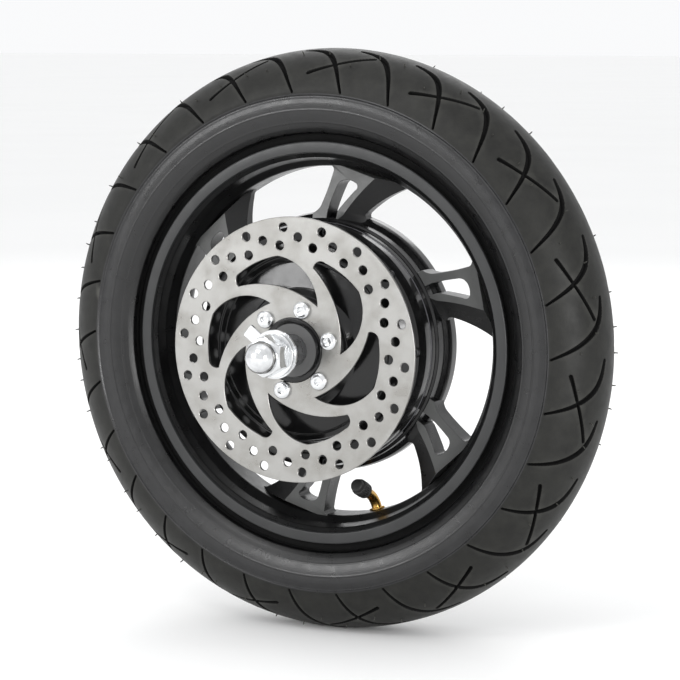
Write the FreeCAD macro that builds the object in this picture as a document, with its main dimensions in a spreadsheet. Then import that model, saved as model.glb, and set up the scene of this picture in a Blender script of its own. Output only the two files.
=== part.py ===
import FreeCAD, Part
import math
import os
import re
import Sketcher

# The wheel turns about Y. The brake disc is on the -Y side and the cable leaves on the +Y side.
# Positions along the axle are measured from the middle of the tyre, which is the origin.
SIZES = {
    # tyre, tube and rim
    "tyre_radius": 157,
    "tyre_section": 28.5,
    "tyre_wall": 4.2,
    "bead_toe": 14.2,
    "bead_step": 1,
    "sidewall_start": 108.8,
    "tube_gap": 0.5,
    "tube_wall": 1.5,
    "fit_gap": 0.1,
    "rim_half": 22.4,
    "lip_radius": 108,
    "lip_band": 6,
    "lip_wall": 2,
    "lip_root": 2.5,
    "bead_radius": 101.5,
    "well_radius": 97.4,
    "well_half": 9,
    "hump_width": 3.5,
    "hump_drop": 0.5,
    "rim_wall": 3,
    "tape_wall": 0.9,
    "tape_margin": 0.5,
    # motor drum, part of the rim casting
    "drum_radius": 70,
    "drum_front": -21,
    "drum_front_radius": 65.4,
    "drum_draft": 1,
    "drum_draft_length": 5,
    "drum_round": 2,
    "drum_round_start": 13,
    "drum_full_start": 16,
    "drum_full_end": 23,
    "drum_slope": 4,
    "drum_slope_length": 12,
    "drum_heel": 2,
    "drum_heel_length": 4,
    "drum_back": 20,
    "drum_back_radius": 60,
    "drum_bore": 58.5,
    "back_wall": 5,
    "back_bore": 47,
    # spokes
    "spoke_count": 6,
    "spoke_front_rim": -9,
    "spoke_front_hub": -14,
    "spoke_back_rim": 4,
    "spoke_back_hub": -1,
    "spoke_sink": 4,
    "spoke_tip_sink": 1,
    "bevel_start": 0.05,
    "bevel_reach": 24,
    "bevel_drop": 13,
    "bevel_proud": 20,
    # rotor and stator
    "stack_front": -16,
    "stack_back": 6,
    "stack_radius": 51.4,
    "tooth_lip": 2.2,
    "yoke_radius": 41,
    "yoke_bore": 36,
    "slot_count": 27,
    "tooth_half": 2.5,
    "slot_mouth": 2,
    "coil_overhang": 6,
    "coil_wall": 1.9,
    "coil_play": 0.1,
    "coil_end_play": 0.2,
    "coil_root_gap": 0.4,
    "coil_tip_gap": 2.6,
    "air_gap": 0.6,
    "magnet_wall": 3,
    "magnet_count": 30,
    "magnet_angle": 11,
    "rotor_overhang": 1,
    "spider_hub_wall": 6,
    "spider_hub_margin": 2,
    "spider_rim_wall": 3.5,
    "spider_front": -7,
    "spider_back": -3,
    "spider_window_radius": 6,
    "spider_window_circle": 24.5,
    "spider_window_count": 6,
    "board_radius": 40,
    "board_bore": 32,
    "board_seat": 13.5,
    "board_wall": 1.6,
    "board_sweep": 60,
    "board_turn": 240,
    "standoff_radius": 1.6,
    "standoff_circle": 34.3,
    "standoff_peg": 1,
    "peg_proud": 0.5,
    "lead_radius": 0.9,
    # axle
    "axle_half": 96,
    "disc_end_short": 3.5,
    "thread_chamfer": 1,
    "shoulder": 67.5,
    "thread_radius": 6,
    "seat_radius": 8.5,
    "core_radius": 10,
    "flat_half": 5,
    "cable_bore": 3.5,
    "cable_bore_start": 14,
    "cable_slot_end": 24,
    "cable_slot_width": 6,
    "key_width": 4,
    "key_start": -11,
    "key_end": 1,
    # ball bearings
    "disc_bearing": -42,
    "cable_bearing": 32,
    "bearing_half": 5,
    "bearing_outer": 17.5,
    "ball_circle": 13,
    "ball_radius": 2.38,
    "ball_play": 0.06,
    "ball_count": 10,
    "race_land": 1.6,
    "cage_wall": 1,
    "cage_half": 3.2,
    "pocket_play": 0.07,
    "shield_wall": 0.6,
    "shield_inset": 0.2,
    "shield_gap": 0.15,
    # circlips and seals
    "clip_wall": 1,
    "clip_depth": 0.5,
    "clip_height": 2.5,
    "clip_opening": 6,
    "seal_radius": 14,
    "seal_length": 4.5,
    "seal_play": 0.08,
    "seal_skin": 1.2,
    "seal_web_part": 0.35,
    "seal_lip_part": 0.8,
    # covers and brake disc
    "cover_wall": 4,
    "skirt_draft": 0.4,
    "skirt_length": 7,
    "screw_seat_draft": 1.4,
    "screw_seat_depth": 13,
    "edge_draft": 3.4,
    "edge_depth": 16,
    "face_inset": 8,
    "boss_cone_width": 4,
    "boss_cone_base": 3,
    "boss_cone_rise": 6,
    "bore_step": 5,
    "back_plate_inset": 2,
    "back_plate_wall": 3,
    "back_edge_inset": 8,
    "back_edge_rise": 4,
    "back_dish_inset": 4,
    "back_dish_drop": 1,
    "back_boss_base": 7,
    "back_boss_rise": 2,
    "back_boss_wall": 4,
    "back_nose": 1,
    "spigot_wall": 3,
    "spigot_length": 2,
    "back_pocket_inset": 8,
    "disc_seat": -52,
    "disc_seat_radius": 28,
    "disc_spigot": 17,
    "spigot_height": 2.5,
    "gasket_wall": 0.8,
    "disc_radius": 70,
    "disc_wall": 1.8,
    "disc_play": 0.05,
    "disc_hole_radius": 2.5,
    "disc_hole_count": 18,
    "disc_window_count": 6,
    "disc_bolt_count": 6,
    "disc_bolt_turn": 15,
    "disc_bolt_play": 0.1,
    "disc_bolt_height": 2.6,
    "disc_bolt_grip": 10,
    "disc_bolt_socket": 1.7,
    "disc_tap_depth": 12,
    "disc_bolt_circle": 22,
    "disc_bolt_radius": 2.5,
    "disc_bolt_head": 4.75,
    "screw_radius": 1.5,
    "screw_head": 2.75,
    "screw_head_height": 2,
    "screw_head_play": 0.2,
    "screw_socket": 1.2,
    "front_screw_grip": 8,
    "front_tap_depth": 10,
    "back_screw_short": 0.5,
    "back_tap_depth": 10,
    "front_screw_count": 9,
    "front_screw_circle": 61.5,
    "back_screw_count": 6,
    "back_screw_circle": 52,
    # axle ends
    "dropout": 6,
    "washer_wall": 2,
    "tab_washer_radius": 12.75,
    "tab_width": 7,
    "tab_length": 7,
    "tab_angle": 142,
    "washer_radius": 12,
    "nut_flats": 19,
    "nut_height": 10,
    "dome_radius": 8.5,
    "dome_hollow": 1,
    "dome_neck_sink": 1,
    "half_length": 98,
    "boot_radius": 7.4,
    "boot_length": 9.5,
    "boot_chamfer": 1,
    # valve
    "valve_angle": -75,
    "valve_radius": 3,
    "valve_bore": 1.1,
    "valve_hole": 3.1,
    "valve_hole_start": 85,
    "valve_hole_length": 30,
    "valve_base": 104.2,
    "valve_corner": 87.5,
    "valve_lean": 28,
    "valve_bend": 9,
    "valve_length": 18,
    "cap_radius": 4.5,
    "cap_start": 10.5,
    "cap_end": 20.8,
    "cap_wall": 1.4,
    "pin_radius": 0.8,
    "pin_start": 13,
    "pin_end": 18.3,
    "valve_nut_radius": 4.2,
    "valve_nut_wall": 1.2,
    "valve_nut_gap": 0.2,
}

ALIAS = re.compile("|".join(sorted(SIZES, key=len, reverse=True)))
ALONG_Y = FreeCAD.Vector(0, 1, 0)
ORIGIN = FreeCAD.Vector(0, 0, 0)
FAR = 400

# The faces that the cover screws' heads bear on, and the end of the cable side cover's boss.
FRONT_SCREW_SEAT = "drum_front - screw_seat_depth"
BACK_SCREW_SEAT = "drum_back + gasket_wall + back_plate_wall"
BACK_NOSE = "cable_bearing + bearing_half + clip_wall + seal_length + back_nose"
# A socket's depth, as a part of its screw head's height.
SOCKET_DEPTH = 0.6

# Outlines below are (radius, degrees from +X towards +Z) for one of the pieces in a ring.
SPOKE_OUTLINE = [
    (97.0, 1.2),
    (94.4, 2.6),
    (83.0, 8.3),
    (71.0, 14.7),
    (66.0, 17.8),
    (66.0, 34.2),
    (70.0, 32.7),
    (82.0, 29.9),
    (94.4, 28.0),
    (97.0, 27.7),
]
# The gap between a spoke's legs: straight sides, then a round end through GAP_END.
GAP_SIDES = [(85.8, 25.6), (72.2, 28.7), (64.0, 29.4), (64.0, 24.5), (72.2, 24.2), (85.5, 17.8)]
GAP_END = (88.5, 21.8)
BEVEL_OUTER = (97.5, 11.0)
BEVEL_INNER = (69.0, 21.5)

# A window of the brake disc: four arcs, each from one corner through a middle to the next.
WINDOW_ARCS = [
    ((50.0, 7.5), (50.0, -6.0), (50.0, -20.0)),
    ((50.0, -20.0), (42.4, -38.9), (27.5, -61.8)),
    ((27.5, -61.8), (32.2, -25.0), (45.2, 14.6)),
    ((45.2, 14.6), (48.6, 13.2), (50.0, 7.5)),
]
DISC_HOLES = [(64.5, 14.8), (59.4, 7.0), (55.2, -2.3)]

STANDOFF_ANGLES = (5, 30, 55)
# Corners (x, y, z) of one outer phase lead: the other's x is reversed, the middle one's is 0.
LEAD_ROUTE = [(8, 12.8, -43), (5, 17.5, -30), (1.9, 19, -13), (1.9, 19, -6)]

doc = FreeCAD.newDocument("hub_motor_wheel")
nodes = {}


def make_sheet():
    """Write the driving dimensions into a spreadsheet, one row each."""
    table = doc.addObject("Spreadsheet::Sheet", "Sizes")
    for row, (alias, number) in enumerate(SIZES.items(), start=1):
        table.set(f"A{row}", alias)
        table.set(f"B{row}", str(number))
        table.setAlias(f"B{row}", alias)
    doc.recompute()
    return table


sheet = make_sheet()


def bound(text):
    """The same expression with each alias pointing at the spreadsheet."""
    return ALIAS.sub(lambda word: "Sizes." + word.group(0), str(text))


def size(text):
    """The value of an expression of spreadsheet aliases."""
    return float(sheet.evalExpression(bound(text)))


def point(radius, degrees, along=0.0):
    """A point at a radius and an angle about Y, from +X towards +Z."""
    turn = math.radians(degrees)
    return FreeCAD.Vector(radius * math.cos(turn), along, radius * math.sin(turn))


def about_y(shape, degrees):
    """A copy of a shape, turned about Y in the same sense as point()."""
    copy = shape.copy()
    copy.rotate(ORIGIN, ALONG_Y, -degrees)
    return copy


def ring_of(shape, count):
    """Copies of a shape spaced evenly about Y."""
    return [about_y(shape, 360 / count * i) for i in range(count)]


def rod(radius, start, end, centre=ORIGIN):
    """A cylinder parallel to the axle."""
    base = FreeCAD.Vector(centre.x, start, centre.z)
    return Part.makeCylinder(radius, end - start, base, ALONG_Y)


def upright(solid):
    """The same solid, turned right side out."""
    if solid.Volume < 0:
        solid.reverse()
    return solid


def slab(outline, start, end):
    """A flat outline drawn at y = 0, made solid between two positions along Y."""
    face = Part.Face(Part.Wire(outline))
    face.translate(ALONG_Y * start)
    return upright(face.extrude(ALONG_Y * (end - start)))


def lines(points):
    """Straight edges that close a list of points."""
    following = points[1:] + points[:1]
    return [Part.makeLine(a, b) for a, b in zip(points, following)]


def keep(name, thing):
    """Make an object the sub-part that carries this name."""
    thing.Label = name
    nodes[name] = thing
    return thing


def shaped(name, shape):
    """An object whose shape is made by Part's own functions."""
    thing = doc.addObject("Part::Feature", name)
    thing.Shape = shape
    thing.Placement = FreeCAD.Placement()
    return thing


def draw(sketch, outline):
    """Draw a closed outline, each corner held at (radius, position) by two expressions."""
    corners = [FreeCAD.Vector(size(across), size(along), 0) for across, along in outline]
    count = len(corners)
    for i in range(count):
        sketch.addGeometry(Part.LineSegment(corners[i], corners[(i + 1) % count]), False)
    for i in range(count):
        sketch.addConstraint(Sketcher.Constraint("Coincident", i, 2, (i + 1) % count, 1))
    for i, (across, along) in enumerate(outline):
        for kind, text, number in (
            ("DistanceX", across, corners[i].x),
            ("DistanceY", along, corners[i].y),
        ):
            rule = sketch.addConstraint(Sketcher.Constraint(kind, -1, 1, i, 1, number))
            sketch.setExpression(f"Constraints[{rule}]", bound(text))


def turned(name, outline):
    """A body turned about the axle, from a list of (radius, position along Y)."""
    body = doc.addObject("PartDesign::Body", name)
    sketch = body.newObject("Sketcher::SketchObject", name + "_outline")
    plane = next(item for item in body.Origin.OriginFeatures if item.Role == "XY_Plane")
    sketch.AttachmentSupport = (plane, "")
    sketch.MapMode = "FlatFace"
    draw(sketch, outline)
    turn = body.newObject("PartDesign::Revolution", name + "_turn")
    turn.Profile = sketch
    turn.ReferenceAxis = (sketch, ["V_Axis"])
    turn.Angle = 360
    body.Tip = turn
    return body


def collar(name, inner, outer, start, end):
    """A plain ring about the axle."""
    return turned(name, [(inner, start), (outer, start), (outer, end), (inner, end)])


def cut(name, base, tool):
    """The base with the tool taken out."""
    result = doc.addObject("Part::Cut", name)
    result.Base = base
    result.Tool = tool
    return result


def block(name, length, width, height, corner):
    """A box whose sizes and least corner are expressions."""
    box = doc.addObject("Part::Box", name)
    for key, text in zip(("Length", "Width", "Height"), (length, width, height)):
        box.setExpression(key, bound(text))
    for key, text in zip("xyz", corner):
        box.setExpression("Placement.Base." + key, bound(text))
    return box


def holes(radius, circle, count, start, end, first="0"):
    """Rods on a circle about the axle, as one shape for cutting."""
    one = rod(size(radius), size(start), size(end), point(size(circle), size(first)))
    return Part.makeCompound(ring_of(one, int(size(count))))


# ---------------------------------------------------------------- tyre, tube and rim


def at(across, along):
    """A point in the half plane that sections are drawn in."""
    return FreeCAD.Vector(across, along, 0)


def make_tyre():
    section = size("tyre_section")
    middle = size("tyre_radius - tyre_section")
    inside = size("tyre_section - tyre_wall")
    foot = size("sidewall_start")
    heel = size("rim_half - lip_wall - fit_gap")
    toe = size("bead_toe")
    seat = size("bead_radius + fit_gap")
    side = math.sqrt(section ** 2 - (middle - foot) ** 2)
    spring = middle - math.sqrt(inside ** 2 - toe ** 2)
    outer = Part.Arc(at(foot, side), at(middle + section, 0), at(foot, -side)).toShape()
    inner = Part.Arc(at(spring, -toe), at(middle + inside, 0), at(spring, toe)).toShape()
    step = foot - size("bead_step")
    bead = [at(spring, toe), at(seat, toe), at(seat, heel), at(step, heel), at(foot, side)]
    edges = [outer, inner]
    for corners in (bead, [at(corner.x, -corner.y) for corner in bead]):
        edges += [Part.makeLine(a, b) for a, b in zip(corners, corners[1:])]
    face = Part.Face(Part.Wire(Part.__sortEdges__(edges)))
    keep("tyre", shaped("tyre", face.revolve(ORIGIN, ALONG_Y, 360)))


def make_inner_tube():
    tube = []
    for name, trim in (("tube_outside", "tube_gap"), ("tube_inside", "tube_gap + tube_wall")):
        torus = doc.addObject("Part::Torus", name)
        torus.setExpression("Radius1", bound("tyre_radius - tyre_section"))
        torus.setExpression("Radius2", bound(f"tyre_section - tyre_wall - ({trim})"))
        torus.Placement = FreeCAD.Placement(ORIGIN, FreeCAD.Vector(1, 0, 0), -90)
        tube.append(torus)
    keep("inner_tube", cut("inner_tube", *tube))


def valve_drill():
    """The radial hole that the valve stem passes through."""
    outward = point(1, size("valve_angle"))
    start = outward * size("valve_hole_start")
    return Part.makeCylinder(size("valve_hole"), size("valve_hole_length"), start, outward)


def make_rim_tape():
    band = collar(
        "tape_band",
        "well_radius",
        "well_radius + tape_wall",
        "-well_half + tape_margin",
        "well_half - tape_margin",
    )
    keep("rim_tape", cut("rim_tape", band, shaped("tape_drill", valve_drill())))


def rim_hoop():
    """The rim's section: two lips, two bead seats and the well."""
    outside = [
        ("lip_radius", "rim_half"),
        ("lip_radius", "rim_half - lip_wall"),
        ("bead_radius", "rim_half - lip_wall"),
        ("bead_radius - hump_drop", "well_half + hump_width"),
        ("well_radius", "well_half"),
    ]
    inside = [
        ("well_radius - rim_wall", "well_half"),
        ("bead_radius - rim_wall - hump_drop", "well_half + hump_width"),
        ("lip_radius - lip_band - lip_root", "rim_half - lip_wall"),
        ("lip_radius - lip_band", "rim_half"),
    ]
    outside += [(across, f"-({along})") for across, along in reversed(outside)]
    inside = [(across, f"-({along})") for across, along in reversed(inside)] + inside
    return turned("rim_hoop", outside + inside)


def drum_shell():
    """The motor drum: bored for the back iron, with an inward wall at its back."""
    return turned(
        "drum_shell",
        [
            ("drum_bore", "drum_front"),
            ("drum_front_radius", "drum_front"),
            ("drum_front_radius + drum_draft", "drum_front + drum_draft_length"),
            ("drum_radius - drum_round", "drum_front + drum_round_start"),
            ("drum_radius", "drum_front + drum_full_start"),
            ("drum_radius", "drum_front + drum_full_end"),
            ("drum_radius - drum_slope", "drum_back - drum_slope_length"),
            ("drum_back_radius + drum_heel", "drum_back - drum_heel_length"),
            ("drum_back_radius", "drum_back"),
            ("back_bore", "drum_back"),
            ("back_bore", "drum_back - back_wall"),
            ("drum_bore", "drum_back - back_wall"),
        ],
    )


def spoke_limits():
    """A ring that gives every spoke its sloping front and back faces."""
    return turned(
        "spoke_limits",
        [
            ("drum_radius - spoke_sink", "spoke_front_hub"),
            ("well_radius - spoke_tip_sink", "spoke_front_rim"),
            ("well_radius - spoke_tip_sink", "spoke_back_rim"),
            ("drum_radius - spoke_sink", "spoke_back_hub"),
        ],
    )


def spoke_bevel():
    """The prism that slopes a spoke's thick leg away from its front web."""
    outer = point(*BEVEL_OUTER, size("spoke_front_rim - bevel_start"))
    inner = point(*BEVEL_INNER, size("spoke_front_hub - bevel_start"))
    along = inner - outer
    aside = ALONG_Y.cross(along).normalize() * size("bevel_reach")
    proud = ALONG_Y * -size("bevel_proud")
    sunk = ALONG_Y * size("bevel_drop")
    corners = [outer, outer + aside + sunk, outer + aside + proud, outer + proud]
    return upright(Part.Face(Part.makePolygon(corners + corners[:1])).extrude(along))


def spoke():
    """One forked spoke: its outline less the gap between its two legs."""
    body = slab(lines([point(*corner) for corner in SPOKE_OUTLINE]), -FAR, FAR)
    sides = [point(*corner) for corner in GAP_SIDES]
    gap = [Part.makeLine(a, b) for a, b in zip(sides, sides[1:])]
    gap.append(Part.Arc(sides[-1], point(*GAP_END), sides[0]).toShape())
    return body.cut(slab(gap, -FAR, FAR)).cut(spoke_bevel())


def make_rim_casting():
    spokes = ring_of(spoke(), int(size("spoke_count")))
    trimmed = doc.addObject("Part::Common", "trimmed_spokes")
    trimmed.Base = shaped("spokes", Part.makeCompound(spokes))
    trimmed.Tool = spoke_limits()
    joined = doc.addObject("Part::MultiFuse", "joined_casting")
    joined.Shapes = [rim_hoop(), drum_shell(), trimmed]
    drills = [
        holes(
            "screw_radius",
            "front_screw_circle",
            "front_screw_count",
            "drum_front - 1",
            "drum_front + front_tap_depth",
        ),
        holes(
            "screw_radius",
            "back_screw_circle",
            "back_screw_count",
            "drum_back - back_tap_depth",
            "drum_back + 1",
        ),
        valve_drill(),
    ]
    taps = shaped("casting_drills", Part.makeCompound(drills))
    keep("rim_casting", cut("rim_casting", joined, taps))


# ---------------------------------------------------------------- rotor and stator


def make_back_iron():
    start = "stack_front - rotor_overhang"
    end = "stack_back + rotor_overhang"
    inside = "stack_radius + air_gap + magnet_wall"
    keep("back_iron", collar("back_iron", inside, "drum_bore", start, end))


def make_magnets():
    start = size("stack_front - rotor_overhang")
    length = size("stack_back + rotor_overhang") - start
    inner = size("stack_radius + air_gap")
    outer = inner + size("magnet_wall")
    base = ALONG_Y * start
    angle = size("magnet_angle")
    wedge = Part.makeCylinder(outer, length, base, ALONG_Y, angle)
    magnet = wedge.cut(Part.makeCylinder(inner, length, base, ALONG_Y))
    ring = Part.makeCompound(ring_of(magnet, int(size("magnet_count"))))
    keep("magnets", shaped("magnets", ring))


def stator_slot(pitch):
    """The gap between two teeth, with its narrow mouth at the air gap."""
    half = size("tooth_half")
    root = size("yoke_radius")
    tip = size("stack_radius - tooth_lip")
    near = [FreeCAD.Vector(root, 0, half), FreeCAD.Vector(tip, 0, half)]
    far = [FreeCAD.Vector(tip, 0, -half), FreeCAD.Vector(root, 0, -half)]
    turn = FreeCAD.Rotation(ALONG_Y, -pitch)
    slot = slab(lines(near + [turn.multVec(corner) for corner in far]), -FAR, FAR)
    mouth = size("slot_mouth")
    base = FreeCAD.Vector(tip - 1, -FAR, -mouth / 2)
    opening = Part.makeBox(size("tooth_lip") + 2, 2 * FAR, mouth, base)
    return slot.fuse(about_y(opening, pitch / 2))


def make_stator_core():
    count = int(size("slot_count"))
    start = size("stack_front")
    end = size("stack_back")
    ring = rod(size("stack_radius"), start, end).cut(rod(size("yoke_bore"), start, end))
    core = ring.cut(Part.makeCompound(ring_of(stator_slot(360 / count), count)))
    keep("stator_core", shaped("stator_core", core))


def make_windings():
    """One coil around each tooth."""
    root = size("yoke_radius + coil_root_gap")
    depth = size("stack_radius - coil_tip_gap") - root
    low = size("stack_front - coil_overhang")
    high = size("stack_back + coil_overhang")
    outer = size("tooth_half + coil_play + coil_wall")
    coil = Part.makeBox(depth, high - low, 2 * outer, FreeCAD.Vector(root, low, -outer))
    low = size("stack_front - coil_end_play")
    high = size("stack_back + coil_end_play")
    inner = size("tooth_half + coil_play")
    tooth = Part.makeBox(depth + 2, high - low, 2 * inner, FreeCAD.Vector(root - 1, low, -inner))
    coils = ring_of(coil.cut(tooth), int(size("slot_count")))
    keep("windings", shaped("windings", Part.makeCompound(coils)))


def make_stator_spider():
    hub = "core_radius + spider_hub_wall"
    rim = "yoke_bore - spider_rim_wall"
    disc = turned(
        "spider_disc",
        [
            ("core_radius", "key_start - spider_hub_margin"),
            (hub, "key_start - spider_hub_margin"),
            (hub, "spider_front"),
            (rim, "spider_front"),
            (rim, "stack_front"),
            ("yoke_bore", "stack_front"),
            ("yoke_bore", "stack_back"),
            (rim, "stack_back"),
            (rim, "spider_back"),
            (hub, "spider_back"),
            (hub, "key_end + spider_hub_margin"),
            ("core_radius", "key_end + spider_hub_margin"),
        ],
    )
    windows = holes(
        "spider_window_radius",
        "spider_window_circle",
        "spider_window_count",
        "spider_front - 1",
        "spider_back + 1",
    )
    opened = cut("spider_opened", disc, shaped("spider_windows", windows))
    keep("stator_spider", cut("stator_spider", opened, key_block("spider_keyway")))


def key_block(name):
    """The key's own box, used for the key and for both keyways."""
    corner = ("-key_width / 2", "key_start", "core_radius - key_width / 2")
    return block(name, "key_width", "key_end - key_start", "key_width", corner)


def make_axle_key():
    keep("axle_key", key_block("axle_key"))


def make_hall_board():
    seat = size("board_seat")
    top = size("board_seat + board_wall")
    sweep = size("board_sweep")
    board = Part.makeCylinder(size("board_radius"), top - seat, ALONG_Y * seat, ALONG_Y, sweep)
    board = board.cut(rod(size("board_bore"), seat, top))
    peg = size("standoff_peg")
    posts = []
    for angle in STANDOFF_ANGLES:
        foot = point(size("standoff_circle"), angle)
        board = board.cut(rod(peg, seat, top, foot))
        post = rod(size("standoff_radius"), size("stack_back"), seat, foot)
        posts.append(post.fuse(rod(peg, seat, top + size("peg_proud"), foot)))
    turn = size("board_turn")
    keep("hall_board", shaped("hall_board", about_y(board, turn)))
    posts = about_y(Part.makeCompound(posts), turn)
    keep("board_standoffs", shaped("board_standoffs", posts))


def wire(points, radius):
    """A round wire along straight runs, with a ball at each corner."""
    pieces = []
    for start, end in zip(points, points[1:]):
        run = end - start
        pieces.append(Part.makeCylinder(radius, run.Length, start, run))
    pieces += [Part.makeSphere(radius, corner) for corner in points[1:-1]]
    return pieces[0].multiFuse(pieces[1:])


def make_phase_leads():
    """Three leads from the windings into the axle's cable slot."""
    leads = []
    for side in (-1, 0, 1):
        route = [FreeCAD.Vector(side * x, y, z) for x, y, z in LEAD_ROUTE]
        leads.append(wire(route, size("lead_radius")))
    keep("phase_leads", shaped("phase_leads", Part.makeCompound(leads)))


# ---------------------------------------------------------------- axle and bearings


def axle_bar():
    """The axle before its flats, bore and slots are cut."""
    end = "-axle_half + disc_end_short"
    front = "disc_bearing + bearing_half"
    back = "cable_bearing - bearing_half"
    disc_clip = "disc_bearing - bearing_half"
    cable_clip = "cable_bearing + bearing_half"
    groove = "seat_radius - clip_depth"
    return turned(
        "axle_bar",
        [
            ("0", end),
            ("thread_radius - thread_chamfer", end),
            ("thread_radius", f"{end} + thread_chamfer"),
            ("thread_radius", "-shoulder"),
            ("seat_radius", "-shoulder"),
            ("seat_radius", f"{disc_clip} - clip_wall"),
            (groove, f"{disc_clip} - clip_wall"),
            (groove, disc_clip),
            ("seat_radius", disc_clip),
            ("seat_radius", front),
            ("core_radius", front),
            ("core_radius", back),
            ("seat_radius", back),
            ("seat_radius", cable_clip),
            (groove, cable_clip),
            (groove, f"{cable_clip} + clip_wall"),
            ("seat_radius", f"{cable_clip} + clip_wall"),
            ("seat_radius", "shoulder"),
            ("thread_radius", "shoulder"),
            ("thread_radius", "axle_half"),
            ("0", "axle_half"),
        ],
    )


def axle_cuts():
    """The two flats at each end, the cable's bore and the slot it leaves by."""
    half = size("flat_half")
    wide = size("core_radius")
    reach = size("half_length - shoulder")
    cutters = []
    for start in (size("shoulder"), -size("half_length")):
        for left in (half, -half - wide):
            base = FreeCAD.Vector(left, start, -wide)
            cutters.append(Part.makeBox(wide, reach, 2 * wide, base))
    start = size("cable_bore_start")
    cutters.append(rod(size("cable_bore"), start, FAR))
    width = size("cable_slot_width")
    base = FreeCAD.Vector(-width / 2, start, -wide - 1)
    cutters.append(Part.makeBox(width, size("cable_slot_end") - start, wide + 1, base))
    return shaped("axle_cuts", Part.makeCompound(cutters))


def make_axle():
    machined = cut("axle_machined", axle_bar(), axle_cuts())
    keep("axle", cut("axle", machined, key_block("axle_keyway")))


def raceway(name, side):
    """The groove that the balls of one bearing run in, with its running play."""
    torus = doc.addObject("Part::Torus", name)
    torus.setExpression("Radius1", bound("ball_circle"))
    torus.setExpression("Radius2", bound("ball_radius + ball_play"))
    torus.setExpression("Placement.Base.y", bound(f"{side}_bearing"))
    torus.Placement.Rotation = FreeCAD.Rotation(FreeCAD.Vector(1, 0, 0), -90)
    return torus


def make_races(side):
    """The two rings of one bearing."""
    start = f"{side}_bearing - bearing_half"
    end = f"{side}_bearing + bearing_half"
    inner = collar(f"{side}_inner_ring", "seat_radius", "ball_circle - race_land", start, end)
    outer = collar(f"{side}_outer_ring", "ball_circle + race_land", "bearing_outer", start, end)
    name = f"{side}_side_inner_race"
    keep(name, cut(name, inner, raceway(f"{side}_inner_groove", side)))
    name = f"{side}_side_outer_race"
    keep(name, cut(name, outer, raceway(f"{side}_outer_groove", side)))


def make_balls(side):
    """The balls of one bearing and the cage that spaces them."""
    middle = size(f"{side}_bearing")
    radius = size("ball_radius")
    circle = size("ball_circle")
    count = int(size("ball_count"))
    one = Part.makeSphere(radius, point(circle, 0, middle))
    name = f"{side}_side_balls"
    keep(name, shaped(name, Part.makeCompound(ring_of(one, count))))
    wall = size("cage_wall")
    half = size("cage_half")
    cage = rod(circle + wall / 2, middle - half, middle + half)
    cage = cage.cut(rod(circle - wall / 2, middle - half, middle + half))
    start = point(circle - 1.5 * wall, 0, middle)
    pocket = Part.makeCylinder(radius + size("pocket_play"), 3 * wall, start, point(1, 0))
    cage = cage.cut(Part.makeCompound(ring_of(pocket, count)))
    name = f"{side}_side_cage"
    keep(name, shaped(name, cage))


def make_shields(side):
    """The thin washers at both faces of one bearing, clear of its inner ring."""
    middle = size(f"{side}_bearing")
    high = size("bearing_half - shield_inset")
    low = high - size("shield_wall")
    outer = size("ball_circle + race_land")
    inner = size("ball_circle - race_land + shield_gap")
    shields = []
    for start, end in ((-high, -low), (low, high)):
        disc = rod(outer, middle + start, middle + end)
        shields.append(disc.cut(rod(inner, middle + start, middle + end)))
    name = f"{side}_side_shields"
    keep(name, shaped(name, Part.makeCompound(shields)))


def make_circlip(side, start, end):
    floor = "seat_radius - clip_depth"
    ring = collar(f"{side}_clip_ring", floor, f"{floor} + clip_height", start, end)
    corner = ("-clip_opening / 2", f"{start} - clip_wall", "0")
    gap = block(f"{side}_clip_gap", "clip_opening", "3 * clip_wall", "2 * core_radius", corner)
    name = f"{side}_side_circlip"
    keep(name, cut(name, ring, gap))


def make_seal(side, start, end):
    """A lip seal: a channel section, open towards the bearing, with a thin lip at the axle."""
    lip = "seat_radius + seal_play"
    web = f"{start} + ({end} - ({start})) * seal_web_part"
    lip_end = f"{start} + ({end} - ({start})) * seal_lip_part"
    outline = [
        (lip, start),
        ("seal_radius", start),
        ("seal_radius", end),
        ("seal_radius - seal_skin", end),
        ("seal_radius - seal_skin", web),
        (f"{lip} + seal_skin", web),
        (f"{lip} + seal_skin", lip_end),
        (lip, lip_end),
    ]
    name = f"{side}_side_seal"
    keep(name, turned(name, outline))


# ---------------------------------------------------------------- covers and brake disc


def disc_cover_shell():
    """The section of the disc side cover, from its skirt to its bearing pocket and back."""
    face = "disc_bearing + bearing_half"
    return turned(
        "front_cover_shell",
        [
            ("drum_bore", "drum_front - gasket_wall"),
            ("drum_front_radius", "drum_front - gasket_wall"),
            ("drum_front_radius - skirt_draft", "drum_front - skirt_length"),
            ("drum_front_radius - screw_seat_draft", "drum_front - screw_seat_depth"),
            ("drum_front_radius - edge_draft", "drum_front - edge_depth"),
            ("drum_front_radius - face_inset", f"{face} - cover_wall"),
            ("disc_seat_radius + boss_cone_width", f"{face} - cover_wall - boss_cone_base"),
            ("disc_seat_radius", f"{face} - cover_wall - boss_cone_rise"),
            ("disc_seat_radius", "disc_seat"),
            ("disc_spigot", "disc_seat"),
            ("disc_spigot", "disc_seat - spigot_height"),
            ("seal_radius", "disc_seat - spigot_height"),
            ("seal_radius", "disc_bearing - bearing_half"),
            ("bearing_outer", "disc_bearing - bearing_half"),
            ("bearing_outer", face),
            ("drum_bore - bore_step", face),
            ("drum_bore", f"{face} + bore_step"),
        ],
    )


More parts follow.
